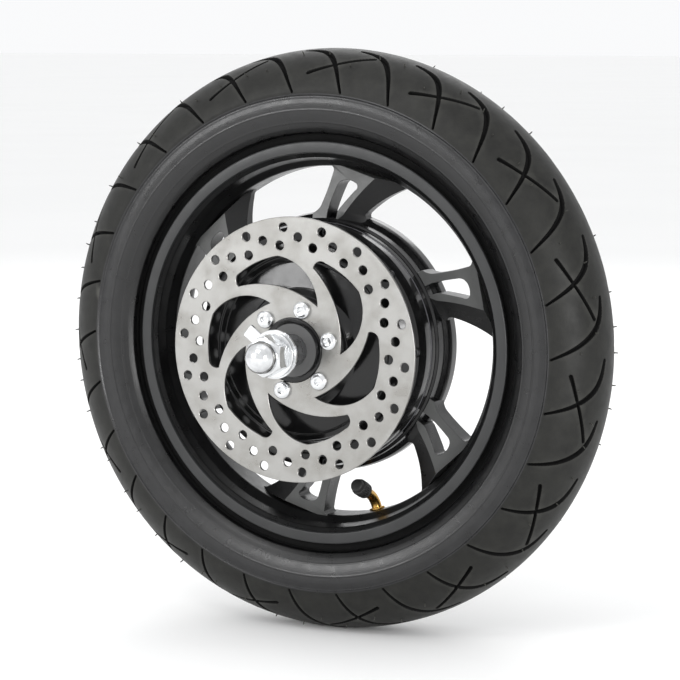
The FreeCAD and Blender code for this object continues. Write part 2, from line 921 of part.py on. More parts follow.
def make_disc_side_cover():
    """The dished cover that closes the drum, carries a bearing and seats the brake disc."""
    circle = "front_screw_circle"
    count = "front_screw_count"
    drills = [
        holes("screw_radius", circle, count, "-axle_half", "drum_front + 1"),
        holes("screw_head + screw_head_play", circle, count, "-axle_half", FRONT_SCREW_SEAT),
        holes(
            "disc_bolt_radius",
            "disc_bolt_circle",
            "disc_bolt_count",
            "disc_seat - 1",
            "disc_seat + disc_tap_depth",
            "disc_bolt_turn",
        ),
    ]
    drills = shaped("front_cover_drills", Part.makeCompound(drills))
    keep("disc_side_cover", cut("disc_side_cover", disc_cover_shell(), drills))


def cable_cover_shell():
    """The section of the cable side cover, from its edge to its bearing pocket and back."""
    seat = "drum_back + gasket_wall"
    face = "cable_bearing - bearing_half"
    edge = "drum_back_radius - back_plate_inset"
    return turned(
        "back_cover_shell",
        [
            (edge, seat),
            (edge, BACK_SCREW_SEAT),
            ("drum_back_radius - back_edge_inset", f"{seat} + back_edge_rise"),
            ("back_bore - back_dish_inset", f"{face} + cover_wall - back_dish_drop"),
            ("bearing_outer + back_boss_base", f"{face} + cover_wall + back_boss_rise"),
            ("bearing_outer + back_boss_wall", BACK_NOSE),
            ("seal_radius", BACK_NOSE),
            ("seal_radius", "cable_bearing + bearing_half"),
            ("bearing_outer", "cable_bearing + bearing_half"),
            ("bearing_outer", face),
            ("back_bore - back_pocket_inset", face),
            ("back_bore - spigot_wall", seat),
            ("back_bore - spigot_wall", "drum_back - spigot_length"),
            ("back_bore - fit_gap", "drum_back - spigot_length"),
            ("back_bore - fit_gap", seat),
        ],
    )


def make_cable_side_cover():
    """The smaller cover on the drum's back wall, with the other bearing."""
    circle = "back_screw_circle"
    count = "back_screw_count"
    drills = [
        holes("screw_radius", circle, count, "drum_back", "axle_half"),
        holes("screw_head + screw_head_play", circle, count, BACK_SCREW_SEAT, "axle_half"),
    ]
    drills = shaped("back_cover_drills", Part.makeCompound(drills))
    keep("cable_side_cover", cut("cable_side_cover", cable_cover_shell(), drills))


def make_gasket(side, radii, faces, screws):
    """A flat gasket between two radii and two faces, drilled for its cover's screws."""
    drills = holes("screw_radius", f"{screws}_circle", f"{screws}_count", "-axle_half", "axle_half")
    name = f"{side}_side_gasket"
    ring = collar(f"{screws}_ring", *radii, *faces)
    keep(name, cut(name, ring, shaped(f"{screws}_drills", drills)))


def cap_screw(shank, head, height, seat, tip, centre, socket):
    """A button-head screw parallel to the axle, from its seat to its tip."""
    outward = -1 if tip > seat else 1
    top = seat + outward * height
    screw = rod(shank, min(seat, tip), max(seat, tip), centre)
    screw = screw.fuse(rod(head, min(seat, top), max(seat, top), centre))
    floor = top - outward * height * SOCKET_DEPTH
    recess = [point(socket, 60 * i) + centre for i in range(6)]
    return screw.cut(slab(lines(recess), min(floor, top), max(floor, top)))


def make_cover_screws(side, screws, seat, tip):
    """The ring of screws that holds one cover on."""
    screw = cap_screw(
        size("screw_radius"),
        size("screw_head"),
        size("screw_head_height"),
        size(seat),
        size(tip),
        point(size(f"{screws}_circle"), 0),
        size("screw_socket"),
    )
    ring = ring_of(screw, int(size(f"{screws}_count")))
    name = f"{side}_cover_screws"
    keep(name, shaped(name, Part.makeCompound(ring)))


def disc_cutters(start, end):
    """The windows, the drilled rows and the bolt holes of the brake disc."""
    window = [Part.Arc(*[point(*corner) for corner in arc]).toShape() for arc in WINDOW_ARCS]
    cutters = ring_of(slab(window, start, end), int(size("disc_window_count")))
    radius = size("disc_hole_radius")
    for place in DISC_HOLES:
        cutters += ring_of(rod(radius, start, end, point(*place)), int(size("disc_hole_count")))
    centre = point(size("disc_bolt_circle"), size("disc_bolt_turn"))
    bolt_hole = rod(size("disc_bolt_radius + disc_bolt_play"), start, end, centre)
    cutters += ring_of(bolt_hole, int(size("disc_bolt_count")))
    return shaped("disc_cuts", Part.makeCompound(cutters))


def make_brake_disc():
    front = "disc_seat - disc_wall"
    blank = collar("disc_blank", "disc_spigot + disc_play", "disc_radius", front, "disc_seat")
    cutters = disc_cutters(size(front) - 1, size("disc_seat") + 1)
    keep("brake_disc", cut("brake_disc", blank, cutters))
    bolt = cap_screw(
        size("disc_bolt_radius"),
        size("disc_bolt_head"),
        size("disc_bolt_height"),
        size(front),
        size("disc_seat + disc_bolt_grip"),
        point(size("disc_bolt_circle"), size("disc_bolt_turn")),
        size("disc_bolt_socket"),
    )
    bolts = ring_of(bolt, int(size("disc_bolt_count")))
    keep("disc_bolts", shaped("disc_bolts", Part.makeCompound(bolts)))


# ---------------------------------------------------------------- axle ends


def double_d(start, end):
    """The threaded end's section: a round bar with two flats."""
    radius = size("thread_radius")
    half = size("flat_half")
    sides = Part.makeBox(2 * half, end - start, 2 * radius, FreeCAD.Vector(-half, start, -radius))
    return rod(radius, start, end).common(sides)


def make_washers(side, sign):
    """The tongued washer against the dropout, and the plain one outside it."""
    near = size(f"{sign} * (shoulder + dropout)")
    middle = size(f"{sign} * (shoulder + dropout + washer_wall)")
    low = min(near, middle)
    high = max(near, middle)
    length = size("tab_washer_radius + tab_length")
    width = size("tab_width")
    tab = Part.makeBox(length, high - low, width, FreeCAD.Vector(0, low, -width / 2))
    washer = rod(size("tab_washer_radius"), low, high).fuse(about_y(tab, size("tab_angle")))
    name = f"{side}_side_tab_washer"
    keep(name, shaped(name, washer.cut(double_d(low, high))))
    name = f"{side}_side_washer"
    start = f"{sign} * (shoulder + dropout + washer_wall)"
    end = f"{sign} * (shoulder + dropout + 2 * washer_wall)"
    keep(name, collar(name, "thread_radius", "washer_radius", start, end))


def hexagon(name, start):
    """A hexagonal prism about the axle, two of its flats level."""
    prism = doc.addObject("Part::Prism", name)
    prism.Polygon = 6
    prism.setExpression("Circumradius", bound("nut_flats / sqrt(3)"))
    prism.setExpression("Height", bound("nut_height"))
    prism.setExpression("Placement.Base.y", bound(start))
    prism.Placement.Rotation = FreeCAD.Rotation(FreeCAD.Vector(1, 0, 0), -90)
    return prism


def make_cable_side_nut():
    start = "shoulder + dropout + 2 * washer_wall"
    bore = collar("nut_bore", "0", "thread_radius", start, f"{start} + nut_height")
    keep("cable_side_nut", cut("cable_side_nut", hexagon("nut_prism", start), bore))


def make_acorn_nut():
    start = "-(shoulder + dropout + 2 * washer_wall + nut_height)"
    dome = doc.addObject("Part::Sphere", "acorn_dome")
    dome.setExpression("Radius", bound("dome_radius"))
    dome.setExpression("Placement.Base.y", bound("-half_length + dome_radius"))
    foot = f"{start} + dome_neck_sink"
    neck = collar("acorn_neck", "0", "dome_radius", "-half_length + dome_radius", foot)
    solid = doc.addObject("Part::MultiFuse", "acorn_solid")
    solid.Shapes = [hexagon("acorn_prism", start), neck, dome]
    hollow = "-axle_half + disc_end_short - dome_hollow"
    bore = collar("acorn_bore", "0", "thread_radius", hollow, f"{start} + nut_height")
    keep("acorn_nut", cut("acorn_nut", solid, bore))


def make_cable_boot():
    outline = [
        ("cable_bore", "axle_half"),
        ("cable_bore", "half_length"),
        ("boot_radius - boot_chamfer", "half_length"),
        ("boot_radius", "half_length - boot_chamfer"),
        ("boot_radius", "half_length - boot_length"),
        ("thread_radius", "half_length - boot_length"),
        ("thread_radius", "axle_half"),
    ]
    keep("cable_boot", turned("cable_boot", outline))


# ---------------------------------------------------------------- valve


def valve_points():
    """The stem's foot, its corner and the direction of its outer run."""
    angle = size("valve_angle")
    foot = point(size("valve_base"), angle)
    corner = point(size("valve_corner"), angle)
    lean = math.radians(size("valve_lean"))
    onward = point(-math.sin(lean), angle, -math.cos(lean))
    return foot, corner, onward


def valve_path():
    """The stem's middle line: two straight runs with a bend between them."""
    foot, corner, onward = valve_points()
    inward = (corner - foot).normalize()
    half_turn = inward.getAngle(onward) / 2
    bend = size("valve_bend")
    start = corner - inward * (bend * math.tan(half_turn))
    end = corner + onward * (bend * math.tan(half_turn))
    outward = (onward - inward).normalize()
    middle = corner + outward * (bend / math.cos(half_turn) - bend)
    tip = corner + onward * size("valve_length")
    return Part.Wire(
        [
            Part.makeLine(foot, start),
            Part.Arc(start, middle, end).toShape(),
            Part.makeLine(end, tip),
        ]
    )


def on_valve(radius, start, end):
    """A cylinder along the stem's outer run, measured from its corner."""
    corner, onward = valve_points()[1:]
    length = size(end) - size(start)
    return Part.makeCylinder(size(radius), length, corner + onward * size(start), onward)


def make_valve():
    foot, corner = valve_points()[:2]
    inward = (corner - foot).normalize()
    ring = Part.Wire(Part.makeCircle(size("valve_radius"), foot, inward))
    stem = valve_path().makePipeShell([ring], True, False)
    stem = stem.cut(on_valve("valve_bore", "cap_start", "cap_end"))
    keep("valve_stem", shaped("valve_stem", stem))
    keep("valve_pin", shaped("valve_pin", on_valve("pin_radius", "pin_start", "pin_end")))
    cap = on_valve("cap_radius", "cap_start", "cap_end")
    cap = cap.cut(on_valve("valve_radius", "cap_start", "cap_end - cap_wall"))
    keep("valve_cap", shaped("valve_cap", cap))
    base = point(size("well_radius - rim_wall - valve_nut_gap"), size("valve_angle"))
    nut = Part.makeCylinder(size("valve_nut_radius"), size("valve_nut_wall"), base, inward)
    nut = nut.cut(Part.makeCylinder(size("valve_radius"), FAR, foot, inward))
    keep("valve_nut", shaped("valve_nut", nut))


# ---------------------------------------------------------------- the whole wheel


def make_rim():
    make_tyre()
    make_inner_tube()
    make_rim_tape()
    make_rim_casting()
    make_valve()


def make_motor():
    make_back_iron()
    make_magnets()
    make_stator_core()
    make_windings()
    make_stator_spider()
    make_axle_key()
    make_hall_board()
    make_phase_leads()
    make_axle()


def make_bearings():
    for side in ("disc", "cable"):
        make_races(side)
        make_balls(side)
        make_shields(side)
    disc_clip = "disc_bearing - bearing_half"
    cable_clip = "cable_bearing + bearing_half"
    make_circlip("disc", f"{disc_clip} - clip_wall", disc_clip)
    make_circlip("cable", cable_clip, f"{cable_clip} + clip_wall")
    mouth = "disc_seat - spigot_height"
    make_seal("disc", mouth, f"{mouth} + seal_length")
    make_seal("cable", BACK_NOSE, f"{BACK_NOSE} - seal_length")


def make_covers():
    make_disc_side_cover()
    make_cable_side_cover()
    radii = ("drum_bore", "drum_front_radius")
    make_gasket("disc", radii, ("drum_front - gasket_wall", "drum_front"), "front_screw")
    radii = ("back_bore", "drum_back_radius - back_plate_inset")
    make_gasket("cable", radii, ("drum_back", "drum_back + gasket_wall"), "back_screw")
    make_cover_screws("disc", "front_screw", FRONT_SCREW_SEAT, "drum_front + front_screw_grip")
    tip = "drum_back - back_wall + back_screw_short"
    make_cover_screws("cable", "back_screw", BACK_SCREW_SEAT, tip)
    make_brake_disc()


def make_axle_ends():
    make_washers("disc", -1)
    make_washers("cable", 1)
    make_cable_side_nut()
    make_acorn_nut()
    make_cable_boot()


def check():
    """Stop at any failed object, and at any sub-part whose shape isn't sound."""
    for thing in doc.Objects:
        if {"Invalid", "Error"} & set(thing.State):
            raise RuntimeError(f"{thing.Label} failed: {thing.State}")
    for name, thing in nodes.items():
        shape = thing.Shape
        if shape.isNull() or not shape.isValid() or not shape.Solids:
            raise RuntimeError(f"{name} has no sound shape")


make_rim()
make_motor()
make_bearings()
make_covers()
make_axle_ends()
doc.recompute()
check()
os.makedirs("parts", exist_ok=True)
for name, thing in nodes.items():
    thing.Shape.exportStep(f"parts/{name}.step")
    print(name, len(thing.Shape.Solids), round(thing.Shape.Volume, 1))
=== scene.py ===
import math

import bmesh
import bpy
import numpy as np
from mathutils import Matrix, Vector
from mathutils.geometry import delaunay_2d_cdt


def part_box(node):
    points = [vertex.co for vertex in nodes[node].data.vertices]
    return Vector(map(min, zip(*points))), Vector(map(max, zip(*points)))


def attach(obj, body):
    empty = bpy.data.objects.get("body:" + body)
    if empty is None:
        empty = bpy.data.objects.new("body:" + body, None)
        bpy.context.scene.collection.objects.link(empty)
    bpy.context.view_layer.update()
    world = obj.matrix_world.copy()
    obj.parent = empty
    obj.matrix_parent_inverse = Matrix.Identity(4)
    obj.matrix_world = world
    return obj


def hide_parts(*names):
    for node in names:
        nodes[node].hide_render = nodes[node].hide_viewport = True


# The wheel turns about Y, the brake disc is on the -Y side, and angles run from +X towards +Z.
# Shapes are worked out in millimetres and turned into metres where a mesh is made.
MM = 0.001
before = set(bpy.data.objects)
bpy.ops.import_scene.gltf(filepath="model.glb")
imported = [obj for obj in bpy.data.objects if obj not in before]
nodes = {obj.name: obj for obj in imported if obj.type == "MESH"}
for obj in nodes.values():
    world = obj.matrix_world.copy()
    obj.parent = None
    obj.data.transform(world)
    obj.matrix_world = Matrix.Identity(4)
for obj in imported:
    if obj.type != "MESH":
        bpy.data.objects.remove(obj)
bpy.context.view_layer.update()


def reach(node, axis, end):
    """One coordinate of a CAD node's box, in millimetres: axis 0 to 2, end 0 for low and 1 for high."""
    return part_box(node)[end][axis] / MM


TYRE_R = reach("tyre", 0, 1)
TYRE_HALF = reach("tyre", 1, 1)
RIM_R = reach("rim_casting", 0, 1)
RIM_HALF = reach("rim_casting", 1, 1)
DISC_R = reach("brake_disc", 0, 1)
DISC_FRONT = reach("brake_disc", 1, 0)
DISC_BACK = reach("brake_disc", 1, 1)
NUT_TOP = reach("acorn_nut", 1, 0)
AXLE_END = reach("axle", 1, 1)


# ---------------------------------------------------------------- mesh helpers


def at(radius, degrees, along):
    """A point at a radius and an angle about the axle."""
    turn = math.radians(degrees)
    return (radius * math.cos(turn), along, radius * math.sin(turn))


def spread(count):
    """Angles spaced evenly round a full turn."""
    return [360.0 * i / count for i in range(count)]


class Form:
    """Points and faces of one piece, each face with the number of its material."""

    def __init__(self):
        self.points = []
        self.faces = []
        self.paints = []

    def add(self, points, faces, paint=0):
        base = len(self.points)
        self.points += [tuple(p) for p in points]
        self.faces += [tuple(base + i for i in face) for face in faces]
        self.paints += [paint] * len(faces)
        return self

    def loft(self, rings, closed=False, caps=True, paint=0):
        """Skin a list of rings of equally many points, closed round on itself or capped at both ends."""
        count = len(rings[0])
        points = [p for ring in rings for p in ring]
        faces = []
        last = len(rings) if closed else len(rings) - 1
        for i in range(last):
            near = i * count
            far = (i + 1) % len(rings) * count
            for j in range(count):
                k = (j + 1) % count
                faces.append((near + j, near + k, far + k, far + j))
        if caps and not closed:
            for start, flip in ((0, False), ((len(rings) - 1) * count, True)):
                middle = len(points)
                ring = points[start:start + count]
                points.append(tuple(sum(c) / count for c in zip(*ring)))
                for j in range(count):
                    a, b = start + j, start + (j + 1) % count
                    faces.append((b, a, middle) if not flip else (a, b, middle))
        return self.add(points, faces, paint)

    def lathe(self, outline, steps, closed=True, paint=0, first=0.0):
        """Turn an outline of (radius, position along Y) about the axle."""
        rings = [[at(r, a + first, y) for a in spread(steps)] for r, y in outline]
        return self.loft(rings, closed=closed, caps=not closed, paint=paint)

    def copies(self, other, count, first=0.0):
        """Add another form several times, spaced evenly about the axle."""
        for angle in spread(count):
            turn = math.radians(angle + first)
            c, s = math.cos(turn), math.sin(turn)
            moved = [(x * c - z * s, y, x * s + z * c) for x, y, z in other.points]
            base = len(self.points)
            self.points += moved
            self.faces += [tuple(base + i for i in face) for face in other.faces]
            self.paints += other.paints
        return self

    def make(self, name, materials, body, slot, replaced=(), crease=32, weld=True):
        """The Blender object, riding on its body and standing for its CAD nodes."""
        mesh = bpy.data.meshes.new(name)
        mesh.from_pydata([Vector(p) * MM for p in self.points], [], self.faces)
        for material in materials:
            mesh.materials.append(material)
        mesh.polygons.foreach_set("material_index", self.paints)
        work = bmesh.new()
        work.from_mesh(mesh)
        if weld:
            bmesh.ops.remove_doubles(work, verts=work.verts, dist=2e-6)
            bmesh.ops.dissolve_degenerate(work, edges=work.edges, dist=1e-6)
        bmesh.ops.recalc_face_normals(work, faces=work.faces)
        work.to_mesh(mesh)
        work.free()
        mesh.shade_smooth()
        mesh.set_sharp_from_angle(angle=math.radians(crease))
        thing = bpy.data.objects.new(name, mesh)
        bpy.context.scene.collection.objects.link(thing)
        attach(thing, body)
        if replaced:
            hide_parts(*replaced)
        return thing


def rounded(corners, steps=4):
    """An outline of (across, along, fillet) corners, with an arc in place of each corner."""
    outline = []
    count = len(corners)
    for i, (x, y, fillet) in enumerate(corners):
        corner = np.array((x, y), float)
        if fillet <= 0:
            outline.append(tuple(corner))
            continue
        before = np.array(corners[i - 1][:2], float) - corner
        after = np.array(corners[(i + 1) % count][:2], float) - corner
        la, lb = np.linalg.norm(before), np.linalg.norm(after)
        before, after = before / la, after / lb
        half = math.acos(max(-1.0, min(1.0, float(before @ after)))) / 2
        if half > math.radians(89):
            outline.append(tuple(corner))
            continue
        back = min(fillet / math.tan(half), la * 0.48, lb * 0.48)
        radius = back * math.tan(half)
        middle = (before + after) / np.linalg.norm(before + after)
        centre = corner + middle * (radius / math.sin(half))
        start = corner + before * back - centre
        end = corner + after * back - centre
        sweep = math.pi - 2 * half
        for k in range(steps + 1):
            t = k / steps
            w0 = math.sin((1 - t) * sweep) / math.sin(sweep)
            w1 = math.sin(t * sweep) / math.sin(sweep)
            outline.append(tuple(centre + start * w0 + end * w1))
    return outline


def curve_through(points, step):
    """A smooth curve through given points, sampled about every step."""
    pts = np.array(points, float)
    padded = np.vstack([2 * pts[0] - pts[1], pts, 2 * pts[-1] - pts[-2]])
    result = []
    for i in range(1, len(padded) - 2):
        p0, p1, p2, p3 = padded[i - 1:i + 3]
        count = max(2, int(round(np.linalg.norm(p2 - p1) / step)))
        for k in range(count):
            t = k / count
            result.append(
                0.5 * (2 * p1 + (p2 - p0) * t + (2 * p0 - 5 * p1 + 4 * p2 - p3) * t * t
                       + (3 * p1 - p0 - 3 * p2 + p3) * t ** 3)
            )
    result.append(pts[-1])
    return np.array(result)


def gap_to(points, line, halves):
    """How far each point is outside a band along a polyline, given the band's half width at each of its points."""
    points = np.asarray(points, float)[:, None, :]
    a = line[:-1][None]
    d = (line[1:] - line[:-1])[None]
    t = np.clip(((points - a) * d).sum(2) / (d * d).sum(2), 0, 1)
    half = halves[:-1] + (halves[1:] - halves[:-1]) * t
    return (np.linalg.norm(points - a - d * t[:, :, None], axis=2) - half).min(1)


def inside(points, loop):
    """Which points lie inside a closed loop."""
    x, y = np.asarray(points, float).T
    loop = np.asarray(loop, float)
    odd = np.zeros(len(x), bool)
    for (x1, y1), (x2, y2) in zip(loop, np.roll(loop, -1, axis=0)):
        crosses = (y1 > y) != (y2 > y)
        with np.errstate(divide="ignore", invalid="ignore"):
            cut = (x2 - x1) * (y - y1) / (y2 - y1) + x1
        odd ^= crosses & (x < cut)
    return odd


def triangulate(loops, extra=()):
    """Fill the area between closed 2-D loops: the first is the outside, the others are holes or creases."""
    points = []
    edges = []
    for loop in loops:
        base = len(points)
        count = len(loop)
        points += [tuple(p) for p in loop]
        edges += [(base + i, base + (i + 1) % count) for i in range(count)]
    points += [tuple(p) for p in extra]
    found = delaunay_2d_cdt([Vector(p) for p in points], edges, [], 0, 1e-7)
    return np.array([tuple(p) for p in found[0]]), np.array([tuple(f) for f in found[2]])


def shrink(loop, amount):
    """A closed 2-D loop moved towards its inside by an amount, which is negative for outwards."""
    pts = np.array(loop, float)
    before = pts - np.roll(pts, 1, axis=0)
    after = np.roll(pts, -1, axis=0) - pts
    before /= np.linalg.norm(before, axis=1)[:, None]
    after /= np.linalg.norm(after, axis=1)[:, None]
    tangent = before + after
    length = np.linalg.norm(tangent, axis=1)[:, None]
    tangent /= np.maximum(length, 1e-6)
    area = float((pts[:, 0] * np.roll(pts[:, 1], -1) - np.roll(pts[:, 0], -1) * pts[:, 1]).sum())
    normal = np.stack([-tangent[:, 1], tangent[:, 0]], axis=1) * (1 if area > 0 else -1)
    stretch = np.clip(2 / np.maximum(length, 1e-6), 1, 1.6)
    return pts + normal * stretch * amount


def plate(outer, holes, front, back, chamfer, hole_chamfer=None):
    """A flat plate across the axle with chamfered edges and holes, from 2-D loops."""
    form = Form()
    hole_chamfer = chamfer if hole_chamfer is None else hole_chamfer
    inner_loops = [shrink(outer, chamfer)] + [shrink(hole, -hole_chamfer) for hole in holes]
    flat, triangles = triangulate(inner_loops)
    centres = flat[triangles].mean(axis=1)
    keep = inside(centres, inner_loops[0])
    for loop in inner_loops[1:]:
        keep &= ~inside(centres, loop)
    for along in (front, back):
        form.add([(x, along, z) for x, z in flat], triangles[keep].tolist())
    for loop, raised, edge in zip(
        [outer] + list(holes), inner_loops, [chamfer] + [hole_chamfer] * len(holes)
    ):
        rings = [
            [(x, front, z) for x, z in raised],
            [(x, front + edge, z) for x, z in loop],
            [(x, back - edge, z) for x, z in loop],
            [(x, back, z) for x, z in raised],
        ]
        form.loft(rings, caps=False)
    return form


def circle(radius, steps, centre=(0.0, 0.0)):
    """A 2-D circle as a loop."""
    return [
        (centre[0] + radius * math.cos(math.radians(a)), centre[1] + radius * math.sin(math.radians(a)))
        for a in spread(steps)
    ]


def polar(radius, degrees):
    """A 2-D point in the wheel's plane."""
    return (radius * math.cos(math.radians(degrees)), radius * math.sin(math.radians(degrees)))


def arc(start, middle, end, steps):
    """Points of the circular arc through three 2-D points, without the last."""
    (ax, ay), (bx, by), (cx, cy) = start, middle, end
    d = 2 * (ax * (by - cy) + bx * (cy - ay) + cx * (ay - by))
    a2, b2, c2 = ax * ax + ay * ay, bx * bx + by * by, cx * cx + cy * cy
    ux = (a2 * (by - cy) + b2 * (cy - ay) + c2 * (ay - by)) / d
    uy = (a2 * (cx - bx) + b2 * (ax - cx) + c2 * (bx - ax)) / d
    radius = math.hypot(ax - ux, ay - uy)
    first, via, last = (math.atan2(y - uy, x - ux) for x, y in (start, middle, end))
    turn = 2 * math.pi
    sweep = (last - first) % turn
    if (via - first) % turn > sweep:
        sweep -= turn
    angles = [first + sweep * i / steps for i in range(steps)]
    return [(ux + radius * math.cos(a), uy + radius * math.sin(a)) for a in angles]


# ---------------------------------------------------------------- materials


class Paint:
    """A Principled material with a few noise-driven effects, all in the wheel's own space."""

    def __init__(self, name, colour, roughness, metallic=0.0, coat=0.0, specular=None):
        self.material = bpy.data.materials.new(name)
        self.material.use_nodes = True
        self.tree = self.material.node_tree
        self.shader = self.tree.nodes["Principled BSDF"]
        self.shader.inputs["Base Color"].default_value = (*colour, 1)
        self.shader.inputs["Roughness"].default_value = roughness
        self.shader.inputs["Metallic"].default_value = metallic
        self.shader.inputs["Coat Weight"].default_value = coat
        self.shader.inputs["Coat Roughness"].default_value = 0.12
        if specular is not None:
            self.shader.inputs["Specular IOR Level"].default_value = specular
        self.place = self.tree.nodes.new("ShaderNodeTexCoord").outputs["Object"]
        self.height = None

    def node(self, kind, **settings):
        node = self.tree.nodes.new(kind)
        for key, value in settings.items():
            if key in node.inputs:
                node.inputs[key].default_value = value
            else:
                setattr(node, key, value)
        return node

    def link(self, source, target):
        self.tree.links.new(source, target)
        return self

    def noise(self, size, detail=3.0, stretch=None, rough=0.55):
        """Noise whose features are about a size in millimetres, longer along any stretched axis."""
        node = self.node("ShaderNodeTexNoise", Scale=1000.0 / size, Detail=detail, Roughness=rough)
        source = self.place
        if stretch:
            mapping = self.node("ShaderNodeMapping", Scale=stretch)
            self.link(source, mapping.inputs["Vector"])
            source = mapping.outputs["Vector"]
        self.link(source, node.inputs["Vector"])
        return node.outputs["Fac"]

    def ramp(self, source, low, high, start=0.35, end=0.65):
        """A colour that runs from low to high as the source runs from start to end."""
        node = self.node("ShaderNodeValToRGB")
        node.color_ramp.elements[0].position = start
        node.color_ramp.elements[0].color = (*low, 1)
        node.color_ramp.elements[1].position = end
        node.color_ramp.elements[1].color = (*high, 1)
        self.link(source, node.inputs["Fac"])
        return node.outputs["Color"]

    def spread(self, source, low, high, start=0.3, end=0.7):
        """A number that runs from low to high as the source runs from start to end."""
        node = self.node("ShaderNodeMapRange")
        node.inputs["From Min"].default_value = start
        node.inputs["From Max"].default_value = end
        node.inputs["To Min"].default_value = low
        node.inputs["To Max"].default_value = high
        self.link(source, node.inputs["Value"])
        return node.outputs["Result"]

    def blend(self, factor, first, second):
        """One colour output over another."""
        node = self.node("ShaderNodeMix", data_type="RGBA")
        self.link(factor, node.inputs["Factor"])
        for source, socket in ((first, node.inputs[6]), (second, node.inputs[7])):
            if isinstance(source, tuple):
                socket.default_value = (*source, 1)
            else:
                self.link(source, socket)
        return node.outputs[2]

    def radius(self):
        """Distance from the axle's centre line, in metres."""
        flat = self.node("ShaderNodeVectorMath", operation="MULTIPLY")
        flat.inputs[1].default_value = (1, 0, 1)
        self.link(self.place, flat.inputs[0])
        length = self.node("ShaderNodeVectorMath", operation="LENGTH")
        self.link(flat.outputs[0], length.inputs[0])
        return length.outputs["Value"]

    def bands(self, source, pitch, low=0.0, high=1.0):
        """A smooth wave along a distance in metres, one cycle for each pitch in millimetres."""
        scaled = self.node("ShaderNodeMath", operation="MULTIPLY")
        scaled.inputs[1].default_value = 2 * math.pi * 1000 / pitch
        self.link(source, scaled.inputs[0])
        wave = self.node("ShaderNodeMath", operation="SINE")
        self.link(scaled.outputs[0], wave.inputs[0])
        return self.spread(wave.outputs[0], low, high, -1, 1)

    def axis(self, index):
        """One coordinate in metres."""
        split = self.node("ShaderNodeSeparateXYZ")
        self.link(self.place, split.inputs[0])
        return split.outputs[index]

    def worn_and_highlit(self, plain, worn_highlit_colour, width=0.0):
        """Lighter where an edge stands proud: partly wear, partly a painted highlight on the edge."""
        point = self.node("ShaderNodeNewGeometry").outputs["Pointiness"]
        return self.blend(self.spread(point, 0, 1, 0.52 + width, 0.6 + width), plain, worn_highlit_colour)

    def bump(self, source, millimetres):
        """Add relief of about this height."""
        node = self.node("ShaderNodeBump", Strength=1.0, Distance=millimetres * MM)
        self.link(source, node.inputs["Height"])
        if self.height:
            self.link(self.height, node.inputs["Normal"])
        self.height = node.outputs["Normal"]
        return self

    def colour(self, source):
        return self.link(source, self.shader.inputs["Base Color"])

    def roughness(self, source):
        return self.link(source, self.shader.inputs["Roughness"])

    def done(self):
        if self.height:
            self.link(self.height, self.shader.inputs["Normal"])
        return self.material


def rubber(name, dark, light, roughness, grain=0.7, dust=9.0, specular=0.4):
    """Moulded rubber: cloudy colour, a fine grain and patchy sheen."""
    paint = Paint(name, dark, roughness, specular=specular)
    cloud = paint.noise(dust, 6, rough=0.7)
    # Proud edges get a lighter colour: partly wear, partly a painted highlight.
    edge = tuple(min(1.0, 2.4 * c + 0.01) for c in light)
    paint.colour(paint.worn_and_highlit(paint.ramp(cloud, dark, light, 0.3, 0.8), edge, 0.01))
    paint.roughness(paint.spread(paint.noise(dust * 0.6, 4), roughness - 0.04, roughness + 0.05))
    paint.bump(paint.noise(grain, 4), 0.05)
    paint.bump(paint.noise(grain * 9, 2), 0.06)
    return paint.done()


def sidewall_rubber():
    """Moulded rubber with painted shade: darkest beside the rim, where shade falls, and lighter out towards the
    tread.
    """
    paint = Paint("sidewall_rubber", (0.01, 0.01, 0.01), 0.3, specular=0.5)
    outward = paint.spread(paint.radius(), 0, 1, 112 * MM, 136 * MM)
    cloud = paint.noise(14, 6, rough=0.7)
    # The dark tone beside the rim is painted shade from the crevice.
    painted_rim_shade = paint.ramp(cloud, (0.0012, 0.0012, 0.0013), (0.003, 0.003, 0.0032), 0.3, 0.8)
    near_tread = paint.ramp(cloud, (0.004, 0.004, 0.0044), (0.018, 0.018, 0.0195), 0.3, 0.8)
    paint.colour(paint.blend(outward, painted_rim_shade, near_tread))
    paint.roughness(paint.spread(paint.noise(7, 5), 0.25, 0.37))
    paint.bump(paint.noise(0.5, 4), 0.05)
    paint.bump(paint.noise(4, 3), 0.07)
    return paint.done()


def cast_paint(name, colour, roughness, coat, peel=1.6, specular=0.5):
    """Powder-coated casting: fine orange peel, paler on proud edges, partly from thinner paint and partly as a
    painted edge highlight.
    """
    paint = Paint(name, colour, roughness, coat=coat, specular=specular)
    lighter = tuple(min(1, c * 1.5 + 0.006) for c in colour)
    cloud = paint.ramp(paint.noise(14, 3), colour, tuple(c * 1.25 for c in colour))
    paint.colour(paint.worn_and_highlit(cloud, lighter))
    paint.roughness(paint.spread(paint.noise(6, 4), roughness - 0.05, roughness + 0.07))
    paint.bump(paint.noise(peel, 2), 0.02)
    paint.bump(paint.noise(0.35, 3), 0.006)
    return paint.done()


def ground_disc():
    """Stainless steel, ground in fine rings, with faint pad marks."""
    paint = Paint("ground_stainless", (0.62, 0.61, 0.6), 0.3, metallic=1.0)
    radius = paint.radius()
    fine = paint.node("ShaderNodeTexNoise", noise_dimensions="1D", Detail=4.0, Roughness=0.7)
    scaled = paint.node("ShaderNodeMath", operation="MULTIPLY")
    scaled.inputs[1].default_value = 2600
    paint.link(radius, scaled.inputs[0])
    paint.link(scaled.outputs[0], fine.inputs["W"])
    cloud = paint.noise(12, 4)
    tone = paint.ramp(fine.outputs["Fac"], (0.29, 0.287, 0.278), (0.42, 0.415, 0.4), 0.3, 0.7)
    stain = paint.ramp(cloud, (0.8, 0.79, 0.77), (1.0, 1.0, 1.0), 0.3, 0.6)
    mixed = paint.node("ShaderNodeMix", data_type="RGBA", blend_type="MULTIPLY")
    mixed.inputs["Factor"].default_value = 1.0
    paint.link(tone, mixed.inputs[6]).link(stain, mixed.inputs[7])
    paint.colour(mixed.outputs[2])
    paint.roughness(paint.spread(cloud, 0.26, 0.4))
    paint.bump(fine.outputs["Fac"], 0.012)
    return paint.done()


